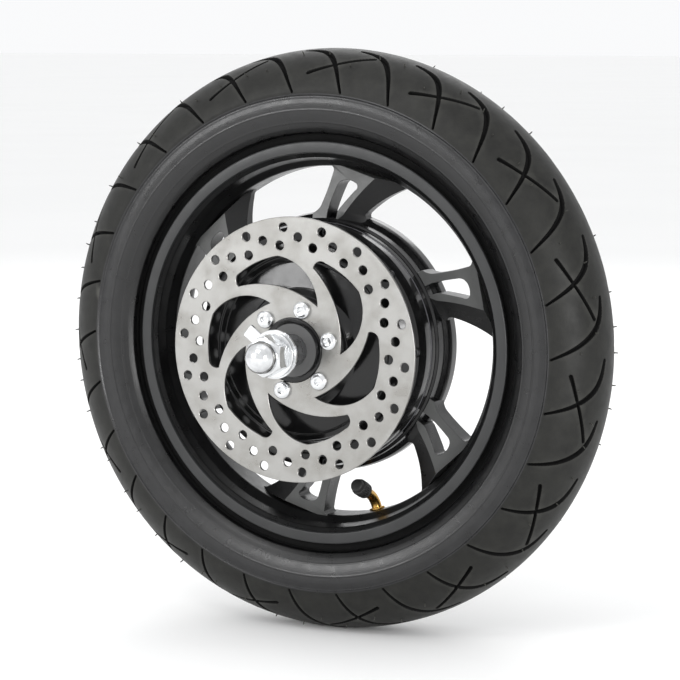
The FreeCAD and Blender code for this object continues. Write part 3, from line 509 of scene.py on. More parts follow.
def metal(name, colour, roughness, grain=0.8, stretch=None, cloud=5.0):
    """Bare or plated metal: tone and sheen vary a little, with a fine machined or plated grain."""
    paint = Paint(name, colour, roughness, metallic=1.0)
    darker = tuple(c * 0.78 for c in colour)
    mottle = paint.ramp(paint.noise(cloud, 4), darker, colour, 0.3, 0.62)
    paint.colour(mottle)
    paint.roughness(paint.spread(paint.noise(cloud * 0.5, 4), roughness * 0.75, roughness * 1.35))
    paint.bump(paint.noise(grain, 3, stretch), 0.012)
    return paint.done()


def striped(name, first, second, pitch, axis, roughness, metallic, height):
    """Fine parallel layers or wires along one axis."""
    paint = Paint(name, first, roughness, metallic=metallic)
    wave = paint.bands(paint.axis(axis), pitch)
    paint.colour(paint.blend(wave, first, second))
    paint.roughness(paint.spread(paint.noise(3, 3), roughness - 0.08, roughness + 0.12))
    paint.bump(wave, height)
    return paint.done()


def moulded(name, colour, roughness, grain=0.5):
    """Moulded plastic or a sleeve: a fine spark-eroded texture."""
    paint = Paint(name, colour, roughness, specular=0.4)
    lighter = tuple(min(1, c * 1.5 + 0.006) for c in colour)
    paint.colour(paint.ramp(paint.noise(4, 4), colour, lighter))
    paint.roughness(paint.spread(paint.noise(2.5, 3), roughness - 0.07, roughness + 0.08))
    paint.bump(paint.noise(grain, 3), 0.02)
    return paint.done()


TREAD = rubber("tread_rubber", (0.005, 0.005, 0.0042), (0.017, 0.017, 0.0145), 0.48, 0.6, 9.0, 0.3)
# The darker recess rubber in the grooves and by the rim is painted shade.
SHADED_RECESS_RUBBER = rubber("recess_rubber_painted_shade", (0.004, 0.004, 0.004), (0.008, 0.008, 0.008), 0.85, 0.6, 5.0, 0.15)
SIDEWALL = sidewall_rubber()
BLACK_RUBBER = rubber("plain_rubber", (0.016, 0.016, 0.016), (0.03, 0.03, 0.03), 0.6)
TAPE = rubber("tape_rubber", (0.03, 0.03, 0.034), (0.05, 0.05, 0.055), 0.7, 1.2)
RIM = cast_paint("rim_black", (0.005, 0.005, 0.0052), 0.3, 0.0, specular=0.3)
# The rim lip's lighter grey is a painted reflection.
RIM_LIP_REFLECTION = cast_paint("rim_lip_painted_reflection", (0.022, 0.0225, 0.023), 0.36, 0.0, specular=0.4)
# The spoke webs' lighter grey is painted light, where light falls on them.
LIT_WEB = cast_paint("spoke_web_painted_light", (0.052, 0.053, 0.052), 0.34, 0.0)
COVER = cast_paint("cover_black", (0.004, 0.004, 0.0042), 0.16, 0.0, specular=0.42)
DISC = ground_disc()
AXLE_STEEL = metal("turned_steel", (0.46, 0.46, 0.47), 0.3, 0.3, (0.2, 4, 0.2))
ZINC = metal("bright_zinc", (0.78, 0.79, 0.8), 0.16, 1.4)
BLACK_STEEL = metal("black_oxide", (0.06, 0.06, 0.062), 0.34, 0.5)
SPRING_STEEL = metal("spring_steel", (0.28, 0.28, 0.29), 0.32, 0.4)
BEARING_STEEL = metal("bearing_steel", (0.62, 0.62, 0.63), 0.1, 0.3, (0.2, 4, 0.2))
BRASS = metal("valve_brass", (0.6, 0.35, 0.09), 0.26, 0.5)
ALUMINIUM = metal("cast_aluminium", (0.58, 0.58, 0.6), 0.42, 0.9)
MAGNET = metal("nickel_plate", (0.6, 0.59, 0.57), 0.22, 0.8)
CAP = moulded("cap_black", (0.014, 0.014, 0.014), 0.5)
BOARD = moulded("board_green", (0.012, 0.09, 0.035), 0.35, 0.8)
SLEEVE = moulded("lead_sleeve", (0.42, 0.26, 0.04), 0.5)
LAMINATION = striped("laminations", (0.3, 0.3, 0.31), (0.12, 0.12, 0.125), 0.5, 1, 0.42, 0.9, 0.05)
COPPER = striped("enamelled_copper", (0.62, 0.22, 0.08), (0.3, 0.09, 0.03), 0.8, 1, 0.3, 0.8, 0.2)


# ---------------------------------------------------------------- tyre

SECTION = TYRE_HALF
SECTION_CENTRE = TYRE_R - SECTION
TILE_COUNT = 15
TILE = 360.0 / TILE_COUNT
COLUMNS = 20
SHOULDER = 80.0
ROWS = 22
SKEW = 0.0125
MEAN_R = 150.0
GROOVE_DEPTH = 2.6
SLIVER = 1e-4
# where each groove runs in one tile: (degrees round the wheel, degrees from the crown)
LONG_GROOVE = [(-0.5, -77.8), (2.3, -48.0), (5.1, -28.0), (7.8, -19.0), (11.1, -14.4)]
LONG_HALVES = [0.8, 1.3, 1.7, 1.7, 1.2]
SLASH = [(7.2, -27.6), (14.8, -45.6), (20.2, -56.4)]
SLASH_HALVES = [1.1, 1.0, 1.2]


def on_tyre(turn, slope, sink=0.0):
    """A point of the tyre's skin, sunk below it by an amount."""
    radius = SECTION - sink
    a = math.radians(slope)
    return at(SECTION_CENTRE + radius * math.cos(a), turn, radius * math.sin(a))


def flat_place(points):
    """Tile positions in millimetres on the skin, from degrees."""
    pts = np.asarray(points, float)
    return np.stack([np.radians(pts[:, 0]) * MEAN_R, np.radians(pts[:, 1]) * SECTION], axis=1)


def tile_grooves():
    """Each groove's centre line and half widths, on the flat tile."""
    found = []
    for start, route, halves in (
        (0, LONG_GROOVE, LONG_HALVES),
        (TILE / 2, LONG_GROOVE, LONG_HALVES),
        (0, SLASH, SLASH_HALVES),
    ):
        places = flat_place([(turn + start, slope) for turn, slope in route])
        line = curve_through(np.column_stack([places, halves]), 1.6)
        found.append((line[:, :2], line[:, 2]))
    return found


def groove_ring(line, halves, step):
    """A closed outline a step inside a groove's edges, round at both ends."""
    along = np.gradient(line, axis=0)
    along /= np.linalg.norm(along, axis=1)[:, None]
    side = np.stack([-along[:, 1], along[:, 0]], axis=1)
    out = (halves - step)[:, None]
    ring = list(line + side * out)
    for end, direction in ((-1, 1), (0, -1)):
        if end == 0:
            ring += list((line - side * out)[::-1])
        for k in range(1, 5):
            a = math.pi / 2 - math.pi * k / 5
            reach_out = along[end] * math.cos(a) + side[end] * math.sin(a)
            ring.append(line[end] + direction * reach_out * out[end])
    return ring


def groove_depth(points, grooves):
    """How deep the tread is cut at each point of the flat tile."""
    depth = np.zeros(len(points))
    for line, halves in grooves:
        gap = gap_to(points, line, halves)
        depth = np.maximum(depth, np.interp(gap, [-0.6, -0.25, 0.0], [GROOVE_DEPTH, 0.4, 0.0]))
    return depth


def tread_tile():
    """One repeat of the near half's tread, as a form."""
    grooves = tile_grooves()
    grid = []
    for row in range(ROWS + 1):
        slope = -SHOULDER * (1 - row / ROWS)
        for column in range(COLUMNS + 1):
            place = (column * TILE / COLUMNS + SKEW * slope, slope)
            grid.append((place, row in (0, ROWS) or column in (0, COLUMNS)))
    size = COLUMNS + 1
    border = list(range(size)) + [r * size + COLUMNS for r in range(1, ROWS + 1)]
    border += [ROWS * size + c for c in range(COLUMNS - 1, -1, -1)] + [r * size for r in range(ROWS - 1, 0, -1)]
    places = flat_place([place for place, _ in grid])
    frame_loop = [places[i] for i in border]
    room = np.min([gap_to(places, line, halves) for line, halves in grooves], axis=0)
    inner = [p for p, gap, (_, edge) in zip(places, room, grid) if not edge and gap > 0.9]
    loops = [frame_loop]
    for line, halves in grooves:
        for step in (0.0, 0.25, 0.6):
            loops.append(groove_ring(line, halves, step))
    flat, triangles = triangulate(loops, inner)
    # Triangles with no area lie along the tile's sides, and would hang inside the tyre once it is curved.
    one, two = flat[triangles[:, 1]] - flat[triangles[:, 0]], flat[triangles[:, 2]] - flat[triangles[:, 0]]
    triangles = triangles[np.abs(one[:, 0] * two[:, 1] - one[:, 1] * two[:, 0]) > SLIVER]
    depth = groove_depth(flat, grooves)
    degrees = np.stack([np.degrees(flat[:, 0] / MEAN_R), np.degrees(flat[:, 1] / SECTION)], axis=1)
    points = [on_tyre(turn, slope, sink) for (turn, slope), sink in zip(degrees, depth)]
    # Faces in the grooves take the darker recess rubber: painted shade.
    sunk = depth[triangles].mean(axis=1) > 0.15
    form = Form()
    form.add(points, triangles[~sunk].tolist(), 0)
    form.add(points, triangles[sunk].tolist(), 1)
    return form


def mirrored(form):
    """The same form on the other side of the wheel's middle plane."""
    other = Form()
    other.add([(x, -y, z) for x, y, z in form.points], form.faces)
    other.paints = list(form.paints)
    return other


SIDEWALL_SLOPES = [80.0, 80.7, 81.4, 82.4, 83.4, 85.5, 90.0, 112.0, 118.0, 124.0, 129.0, 134.0]
SIDEWALL_LIFTS = [0.0, 0.2, 0.2, -0.5, -0.6, -0.4, -0.2, 0.0, -0.1, -0.5, -1.9, -4.6]
WALL_STEP = 0.6
CREVICE = 128.0


def sidewall_outline():
    """The rest of the tyre's section, from the near shoulder round the inside to the far one."""
    ridges = [(97.5, 0.15), (111.0, 0.12)]
    outline = []
    slope = SHOULDER
    while slope < SIDEWALL_SLOPES[-1] - 1.0:
        lift = float(np.interp(slope, SIDEWALL_SLOPES, SIDEWALL_LIFTS))
        lift += sum(h * max(0.0, 1 - ((slope - s) / 1.1) ** 2) for s, h in ridges)
        outline.append((slope, lift))
        slope += WALL_STEP
    near = []
    for slope, lift in outline:
        a = math.radians(slope)
        radius = SECTION + lift
        near.append((SECTION_CENTRE + radius * math.cos(a), -radius * math.sin(a)))
    heel = RIM_HALF - 2.1
    near += [(RIM_R - 0.3, -heel + 3.0), (RIM_R - 1.0, -heel), (102.2, -heel)]
    near += [(101.6, -heel + 0.6), (101.6, -14.6), (102.0, -14.2)]
    core = SECTION - 4.2
    inner = []
    for slope in range(144, -1, -8):
        a = math.radians(slope)
        inner.append((SECTION_CENTRE + core * math.cos(a), -core * math.sin(a)))
    half = near + inner
    return half + [(r, -y) for r, y in reversed(half[:-1])]


def vent_hairs():
    """Short rubber hairs that the mould's vents leave on the shoulders of the tread."""
    form = Form()
    chance = np.random.default_rng(7)
    for side in (-1, 1):
        for turn in spread(60):
            slope = side * (chance.choice([25, 26, 45]) + chance.uniform(-2, 2))
            turn += chance.uniform(-1.5, 1.5)
            length = chance.uniform(1.5, 2.5)
            lean = chance.uniform(-0.5, 0.5)
            foot = Vector(on_tyre(turn, slope, 0.1))
            out = (Vector(on_tyre(turn, slope, -1)) - Vector(on_tyre(turn, slope))).normalized()
            across = out.cross(Vector((0, 1, 0))).normalized()
            other = out.cross(across)
            rings = []
            for k, radius in enumerate((0.4, 0.36, 0.34, 0.3, 0.12)):
                middle = foot + out * (length * k / 4) + across * (lean * (k / 4) ** 2)
                rings.append(
                    [tuple(middle + (across * math.cos(a) + other * math.sin(a)) * radius)
                     for a in (math.radians(d) for d in spread(6))]
                )
            form.loft(rings)
    return form


def make_tyre():
    tile = tread_tile()
    form = Form().copies(tile, TILE_COUNT)
    form.copies(mirrored(tile), TILE_COUNT, first=TILE / 4)
    steps = COLUMNS * TILE_COUNT
    first = -SKEW * SHOULDER
    rings = [[at(r, a + first, y) for a in spread(steps)] for r, y in sidewall_outline()]
    wall = round((CREVICE - SHOULDER) / WALL_STEP)
    form.loft(rings[: wall + 1], caps=False, paint=2)
    # The crevice by the rim and the bead take the dark recess rubber: painted shade.
    form.loft(rings[wall : -wall or None], caps=False, paint=1)
    form.loft(rings[-wall - 1 :], caps=False, paint=2)
    form.make("moulded_tyre", [TREAD, SHADED_RECESS_RUBBER, SIDEWALL], "wheel", "tyre_rubber", ["tyre"], crease=40)
    vent_hairs().make("tread_vent_hairs", [TREAD], "wheel", "tyre_rubber", weld=False)


# ---------------------------------------------------------------- rim, spokes and drum

WELL_R = RIM_R - 13.6
DRUM_R = 70.0
SPOKE_COUNT = 6


def rim_outline():
    """The rim's section, from the near lip over the bead seats and back along the barrel."""
    outside = [
        (RIM_R, RIM_HALF, 0.9),
        (RIM_R, RIM_HALF - 2.0, 0.5),
        (101.5, RIM_HALF - 2.0, 0.5),
        (101.0, 12.5, 1.5),
        (97.4, 9.0, 1.5),
    ]
    inside_half = [
        (WELL_R, 8.5, 3.0),
        (98.0, 13.0, 3.0),
        (99.4, RIM_HALF - 3.0, 1.2),
        (101.6, RIM_HALF - 1.4, 0.8),
        (102.2, RIM_HALF, 0.5),
    ]
    far = outside + [(r, -y, f) for r, y, f in reversed(outside)]
    near = [(r, -y, f) for r, y, f in reversed(inside_half)] + inside_half
    return rounded(far + near)


def drum_outline():
    """The motor drum's section, stepped towards the disc side."""
    front = reach("disc_side_gasket", 1, 1)
    back = reach("cable_side_gasket", 1, 0)
    return rounded(
        [
            (58.5, front, 0.3),
            (65.4, front, 0.5),
            (65.6, front + 4.4, 0.4),
            (66.9, front + 5.6, 0.7),
            (67.3, front + 11.6, 0.5),
            (69.2, front + 13.4, 0.9),
            (DRUM_R, front + 16.5, 2.0),
            (DRUM_R, front + 22.5, 3.0),
            (66.0, front + 29.0, 5.0),
            (62.2, back - 4.0, 3.0),
            (60.0, back, 0.8),
            (47.0, back, 0.4),
            (47.0, back - 5.0, 0.4),
            (58.5, back - 5.0, 1.0),
        ]
    )


CREASE_RIM = (97.5, 11.0)
CREASE_HUB = (69.0, 21.5)
SPOKE_ROOT = 65.5


def spoke_outline():
    """A forked spoke seen along the axle, with flared roots: two legs that meet at the rim."""
    loop = [polar(97.0, 0.6)]
    loop += arc(polar(94.5, 1.4), polar(93.4, 2.9), polar(91.6, 3.9), 5)
    loop += arc(polar(91.6, 3.9), polar(82.0, 8.8), polar(73.5, 12.6), 7)
    loop += arc(polar(73.5, 12.6), polar(71.2, 12.9), polar(69.8, 11.0), 5)
    loop += [polar(SPOKE_ROOT, 12.5), polar(SPOKE_ROOT, 24.6), polar(70.6, 24.3)]
    loop += arc(polar(72.0, 24.0), polar(77.0, 21.6), polar(83.2, 18.9), 5)
    loop += arc(polar(83.2, 18.9), polar(85.6, 18.3), polar(87.3, 19.6), 6)
    loop += arc(polar(87.3, 19.6), polar(88.0, 21.8), polar(87.5, 24.0), 5)
    loop += arc(polar(87.5, 24.0), polar(86.0, 25.5), polar(83.8, 26.2), 6)
    loop += arc(polar(83.8, 26.2), polar(78.0, 27.5), polar(72.2, 28.7), 5)
    loop += [polar(70.6, 29.0), polar(SPOKE_ROOT, 29.3), polar(SPOKE_ROOT, 36.5)]
    loop += arc(polar(69.8, 36.0), polar(71.2, 33.9), polar(73.5, 32.3), 5)
    loop += arc(polar(73.5, 32.3), polar(82.0, 29.9), polar(92.2, 28.2), 7)
    loop += arc(polar(92.2, 28.2), polar(93.8, 28.5), polar(94.8, 29.5), 5)
    return loop + [polar(97.0, 29.8)]


def spoke_face(radius, at_hub, at_rim):
    """Where a spoke's face lies along the axle, between its place at the hub and at the rim."""
    return at_hub + (at_rim - at_hub) * (radius - 70.0) / 26.0


def spoke_front(x, z):
    """A spoke's front, with its thick leg bevelled away beyond a slanting crease."""
    radius = math.hypot(x, z)
    crease = np.interp(radius, (CREASE_HUB[0], CREASE_RIM[0]), (CREASE_HUB[1], CREASE_RIM[1]))
    beyond = math.radians(crease - math.degrees(math.atan2(z, x))) * radius
    return spoke_face(radius, -14.0, -9.0) + max(0.0, beyond) * 0.55


def spoke():
    """One forked spoke; its front web gets a lighter grey than its sides and bevel, painted light where light falls
    on it.
    """
    outer = spoke_outline()
    crease = [
        polar(r, a) for r, a in zip(np.linspace(96.5, 69.5, 14), np.linspace(11.4, 21.3, 14))
    ]
    flat, triangles = triangulate([outer], [p for p in crease if inside([p], outer)[0]])
    centres = flat[triangles].mean(axis=1)
    faces = triangles[inside(centres, outer)]
    form = Form()
    fronts = [(x, spoke_front(x, z), z) for x, z in flat]
    turns = np.degrees(np.arctan2(centres[:, 1], centres[:, 0]))[inside(centres, outer)]
    radii = np.hypot(centres[:, 0], centres[:, 1])[inside(centres, outer)]
    # The web faces get the lighter grey: painted light.
    lit_webs = turns > np.interp(radii, (69.0, 97.5), (21.5, 11.0))
    form.add(fronts, faces[lit_webs].tolist(), 1)
    form.add(fronts, faces[~lit_webs].tolist(), 0)
    backs = [(x, spoke_face(math.hypot(x, z), -1.0, 4.0), z) for x, z in flat]
    form.add(backs, faces.tolist())
    near = [(x, spoke_front(x, z), z) for x, z in outer]
    far = [(x, spoke_face(math.hypot(x, z), -1.0, 4.0), z) for x, z in outer]
    return form.loft([near, far], caps=False)


def soften(thing, width, segments=2, angle=38):
    """Round a piece's sharp edges, as a casting's are."""
    bevel = thing.modifiers.new("edges", "BEVEL")
    bevel.width = width * MM
    bevel.segments = segments
    bevel.limit_method = "ANGLE"
    bevel.angle_limit = math.radians(angle)
    bevel.harden_normals = True
    bevel.miter_outer = "MITER_ARC"
    apply_modifiers(thing)


def apply_modifiers(thing):
    """Turn a piece's modifiers into plain mesh."""
    bpy.context.view_layer.update()
    graph = bpy.context.evaluated_depsgraph_get()
    mesh = bpy.data.meshes.new_from_object(thing.evaluated_get(graph))
    thing.modifiers.clear()
    thing.data = mesh


def make_rim():
    body = Form().lathe(rim_outline(), 288)
    # The lip faces take the lighter grey: painted reflection.
    for i, face in enumerate(body.faces):
        if all(abs(body.points[k][1]) > RIM_HALF - 1.2 for k in face):
            body.paints[i] = 1
    body.make("cast_rim", [RIM, RIM_LIP_REFLECTION], "wheel", "rim_paint", ["rim_casting"])
    drum = Form().lathe(drum_outline(), 240)
    drum.make("cast_motor_drum", [COVER], "wheel", "rim_paint")
    spokes = Form().copies(spoke(), SPOKE_COUNT)
    thing = spokes.make("cast_spokes", [RIM, LIT_WEB], "wheel", "rim_paint", crease=30)
    soften(thing, 0.8, 3)


# ---------------------------------------------------------------- brake disc

DISC_WINDOWS = 6
DISC_HOLE_R = 2.5
DISC_HOLE_ROWS = ((64.5, 14.8), (59.4, 7.0), (55.2, -2.3))
BOLT_CIRCLE = 22.0
BOLT_TURN = 15.0


def turned_loop(loop, degrees):
    """A 2-D loop turned in the wheel's plane."""
    c, s = math.cos(math.radians(degrees)), math.sin(math.radians(degrees))
    return [(x * c - z * s, x * s + z * c) for x, z in loop]


def disc_window():
    """A spiral window with a round outer end and a pointed inner tip."""
    start = polar(50.0, 7.5)
    corner = polar(50.0, -20.0)
    tip = polar(27.5, -61.8)
    shoulder = polar(45.2, 14.6)
    loop = arc(start, polar(50.0, -6.0), corner, 12)
    loop += arc(corner, polar(42.4, -38.9), tip, 22)
    loop += arc(tip, polar(32.2, -25.0), shoulder, 30)
    loop += arc(shoulder, polar(48.6, 13.2), start, 8)
    return loop


def make_brake_disc():
    holes = [circle(17.05, 96)]
    holes += [turned_loop(disc_window(), a) for a in spread(DISC_WINDOWS)]
    for radius, degrees in DISC_HOLE_ROWS:
        holes += [circle(DISC_HOLE_R, 32, polar(radius, degrees + a)) for a in spread(18)]
    holes += [circle(2.6, 32, polar(BOLT_CIRCLE, BOLT_TURN + a)) for a in spread(6)]
    form = plate(circle(DISC_R, 288), holes, DISC_FRONT, DISC_BACK, 0.25, 0.22)
    form.make("drilled_brake_disc", [DISC], "wheel", "disc_steel", ["brake_disc"], crease=25)


# ---------------------------------------------------------------- covers


def cutter(radius, start, end, centre, steps=40):
    """A plain rod along Y, for cutting."""
    return stacked([(radius, start), (radius, end)], centre, steps)


def carve(thing, tools):
    """Cut a form out of a piece."""
    mesh = bpy.data.meshes.new("cutter")
    mesh.from_pydata([Vector(p) * MM for p in tools.points], [], tools.faces)
    work = bmesh.new()
    work.from_mesh(mesh)
    bmesh.ops.recalc_face_normals(work, faces=work.faces)
    work.to_mesh(mesh)
    work.free()
    for material in thing.data.materials:
        mesh.materials.append(material)
    knife = bpy.data.objects.new("cutter", mesh)
    bpy.context.scene.collection.objects.link(knife)
    boolean = thing.modifiers.new("cut", "BOOLEAN")
    boolean.operation = "DIFFERENCE"
    boolean.solver = "EXACT"
    boolean.object = knife
    apply_modifiers(thing)
    bpy.data.objects.remove(knife)
    thing.data.set_sharp_from_angle(angle=math.radians(32))


def outline_radius(shape, degrees):
    """How far out a section reaches: a circle's radius, or a (half flats, round limit) hexagon."""
    if not isinstance(shape, tuple):
        return shape
    half, limit = shape
    folded = (degrees + 30) % 60 - 30
    return min(half / math.cos(math.radians(folded)), limit)


def stacked(levels, centre=(0.0, 0.0), steps=48, caps=True, closed=False):
    """Sections (shape, position along Y) joined into one form."""
    rings = []
    for shape, along in levels:
        rings.append(
            [(centre[0] + x, along, centre[1] + z)
             for x, z in (polar(outline_radius(shape, a), a) for a in spread(steps))]
        )
    return Form().loft(rings, closed=closed, caps=caps)


def head_levels(seat, outward, radius, height, socket):
    """A button head with a hexagonal socket, from its seat outwards."""
    levels = [(radius - 0.1, 0.0), (radius, 0.12), (radius, height * 0.35)]
    for k in range(1, 7):
        a = math.radians(15 * k)
        run = radius - socket * 1.45
        levels.append((radius - run * (1 - math.cos(a)), height * (0.35 + 0.65 * math.sin(a))))
    levels += [(socket * 1.2, height), ((socket, socket * 1.12), height - 0.15)]
    levels += [((socket, socket * 1.12), height * 0.35), (socket * 0.4, height * 0.28)]
    return [(shape, seat + outward * y) for shape, y in levels]


def make_cover(name, node, outline, screws, head_seat, outward, slot):
    """A turned cover with a counterbore for each screw."""
    thing = Form().lathe(rounded(outline), 240).make(name, [COVER], "wheel", slot, [node])
    count, circle_radius = screws
    tools = Form()
    for angle in spread(count):
        centre = polar(circle_radius, angle)
        head = cutter(3.1, head_seat, head_seat + outward * 40, centre)
        tools.add(head.points, head.faces)
    carve(thing, tools)


def make_covers():
    front = reach("disc_side_cover", 1, 1)
    seat = DISC_BACK
    face = reach("disc_side_outer_race", 1, 1)
    tip = reach("disc_side_cover", 1, 0)
    rim_front = reach("disc_side_gasket", 1, 0)
    make_cover(
        "turned_disc_side_cover",
        "disc_side_cover",
        [
            (58.5, rim_front, 0.2),
            (65.4, rim_front, 0.5),
            (65.2, rim_front - 6.0, 2.0),
            (64.0, rim_front - 12.4, 2.0),
            (61.4, rim_front - 15.6, 3.0),
            (56.6, face - 4.4, 4.0),
            (50.0, face - 5.0, 1.0),
            (49.2, face - 4.2, 0.8),
            (46.4, face - 4.4, 0.8),
            (45.6, face - 5.4, 1.0),
            (32.0, face - 7.0, 3.0),
            (28.0, face - 10.0, 2.0),
            (28.0, seat, 0.5),
            (17.0, seat, 0.1),
            (17.0, tip, 0.4),
            (14.0, tip, 0.4),
            (14.0, face - 10, 0.1),
            (17.5, face - 10, 0.1),
            (17.5, face, 0.3),
            (53.5, face, 2.0),
            (58.5, face + 5, 1.0),
        ],
        (9, 61.5),
        reach("disc_cover_screws", 1, 0) + 2,
        -1,
        "cover_paint",
    )
    back = reach("cable_side_gasket", 1, 1)
    face = reach("cable_side_outer_race", 1, 0)
    nose = reach("cable_side_cover", 1, 1)
    make_cover(
        "turned_cable_side_cover",
        "cable_side_cover",
        [
            (58.0, back, 0.3),
            (58.0, back + 3.0, 0.8),
            (52.6, back + 3.5, 1.2),
            (49.6, back + 5.0, 1.5),
            (43.6, face + 2.6, 3.0),
            (36.0, face + 3.6, 1.0),
            (35.2, face + 2.9, 0.8),
            (32.6, face + 3.1, 0.8),
            (31.8, face + 4.2, 1.0),
            (24.6, face + 5.8, 3.0),
            (21.5, nose, 1.2),
            (14.0, nose, 0.4),
            (14.0, face + 10, 0.1),
            (17.5, face + 10, 0.1),
            (17.5, face, 0.3),
            (39.0, face, 2.0),
            (44.0, back, 1.0),
            (44.0, back - 2.8, 0.3),
            (46.9, back - 2.8, 0.3),
            (46.9, back, 0.1),
        ],
        (6, 52.0),
        back + 3.0,
        1,
        "cover_paint",
    )
    return front


def make_screws():
    """Cover screws and the disc's bolts, one copy of each turned about the axle."""
    sets = (
        ("disc_cover_screw_heads", "disc_cover_screws", 9, 61.5, 0.0, 1.5, 2.75, 2.0, 1.2, -1),
        ("cable_cover_screw_heads", "cable_cover_screws", 6, 52.0, 0.0, 1.5, 2.75, 2.0, 1.2, 1),
        ("brake_disc_bolts", "disc_bolts", 6, BOLT_CIRCLE, BOLT_TURN, 2.5, 4.75, 2.6, 1.7, -1),
    )
    for name, node, count, circle_radius, turn, shank, head, height, socket, outward in sets:
        top = reach(node, 1, 0 if outward < 0 else 1)
        tip = reach(node, 1, 1 if outward < 0 else 0)
        seat = top - outward * height
        levels = [(shank - 0.5, tip), (shank, tip + outward * 0.5), (shank, seat)]
        levels += head_levels(seat, outward, head, height, socket)
        one = stacked(levels, polar(circle_radius, turn), 48)
        slot = "black_steel" if node != "disc_bolts" else "zinc"
        material = BLACK_STEEL if node != "disc_bolts" else ZINC
        Form().copies(one, count).make(name, [material], "wheel", slot, [node])


# ---------------------------------------------------------------- axle and its hardware

FLAT = 5.0
THREAD_R = 6.0
THREAD_PITCH = 1.25


def axle_radius(degrees, along):
    """The axle's outline at one place: seats in the middle, threads with two flats at the ends."""
    depth = abs(along)
    if depth <= 67.5:
        if -37.0 < along < 27.0:
            return 10.0
        if -48.0 < along < -47.0 or 37.0 < along < 38.0:
            return 8.0
        return 8.5
    turns = (along / THREAD_PITCH - degrees / 360.0) % 1.0
    cut = 0.55 * abs(1 - 2 * turns)
    fade = min(1.0, (depth - 68.3) / 0.8) if depth > 68.3 else 0.0
    return THREAD_R - cut * fade


def make_axle():
    low = reach("axle", 1, 0)
    steps = 72
    places = list(np.arange(low, -67.6, THREAD_PITCH / 6)) + [-67.5]
    for edge in (-48.0, -47.0, -37.0, 27.0, 37.0, 38.0):
        places += [edge - 0.02, edge + 0.02]
    places += [67.5] + list(np.arange(67.6, AXLE_END, THREAD_PITCH / 6)) + [AXLE_END]
    rings = []
    for along in places:
        ring = []
        for a in spread(steps):
            r = axle_radius(a, along)
            tip = min(along - low, AXLE_END - along)
            r -= max(0.0, 1.0 - tip) if tip < 1.0 else 0.0
            if abs(along) > 67.5:
                x = max(-FLAT, min(FLAT, r * math.cos(math.radians(a))))
                ring.append((x, along, r * math.sin(math.radians(a))))
            else:
                ring.append(at(r, a, along))
        rings.append(ring)
    bore = [[at(3.5, a, along) for a in spread(steps)] for along in (AXLE_END, 60.0, 14.0)]
    thing = Form().loft(rings + bore).make("machined_axle", [AXLE_STEEL], "axle", "axle_steel", ["axle"])
    key = Form()
    low_key, high_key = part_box("axle_key")
    for lo, hi in (
        (tuple(v / MM for v in low_key), tuple(v / MM for v in high_key)),
        ((-3.0, 14.0, -11.0), (3.0, 24.0, 0.0)),
    ):
        corners = [(x, y, z) for y in (lo[1], hi[1]) for x, z in
                   ((lo[0], lo[2]), (hi[0], lo[2]), (hi[0], hi[2]), (lo[0], hi[2]))]
        key.loft([corners[:4], corners[4:]])
    carve(thing, key)


def tab_washer_outline():
    """A round washer with one square tongue, as a loop."""
    radius, half, length, turn = 12.75, 3.5, 19.75, 142.0
    start = math.degrees(math.asin(half / radius))
    loop = [polar(radius, a) for a in np.linspace(start, 360 - start, 72)]
    loop += [(length - 0.8, -half), (length - 0.2, -half + 0.25), (length, -half + 0.8)]
    loop += [(length, half - 0.8), (length - 0.2, half - 0.25), (length - 0.8, half)]
    return turned_loop(loop, turn)


def double_d():
    """The axle's section at its flats, with a little play."""
    return [(max(-FLAT - 0.05, min(FLAT + 0.05, x)), z) for x, z in circle(THREAD_R + 0.05, 72)]


def hex_nut_levels(base, outward, height, inner):
    """A hexagonal nut's outside from its base, chamfered at both ends, ending at an inner radius."""
    half = 9.5
    corner = half / math.cos(math.radians(30))
    levels = [(inner, 0.0)]
    chamfer = [(0.0, 0.0), (0.12, 0.25), (0.3, 0.5), (0.5, 0.75), (0.85, 1.0)]
    for depth, share in chamfer:
        levels.append(((half, half - 0.25 + (corner - half + 0.25) * share), depth))
    for depth, share in reversed(chamfer):
        levels.append(((half, half - 0.25 + (corner - half + 0.25) * share), height - depth))
    return [(shape, base + outward * y) for shape, y in levels]


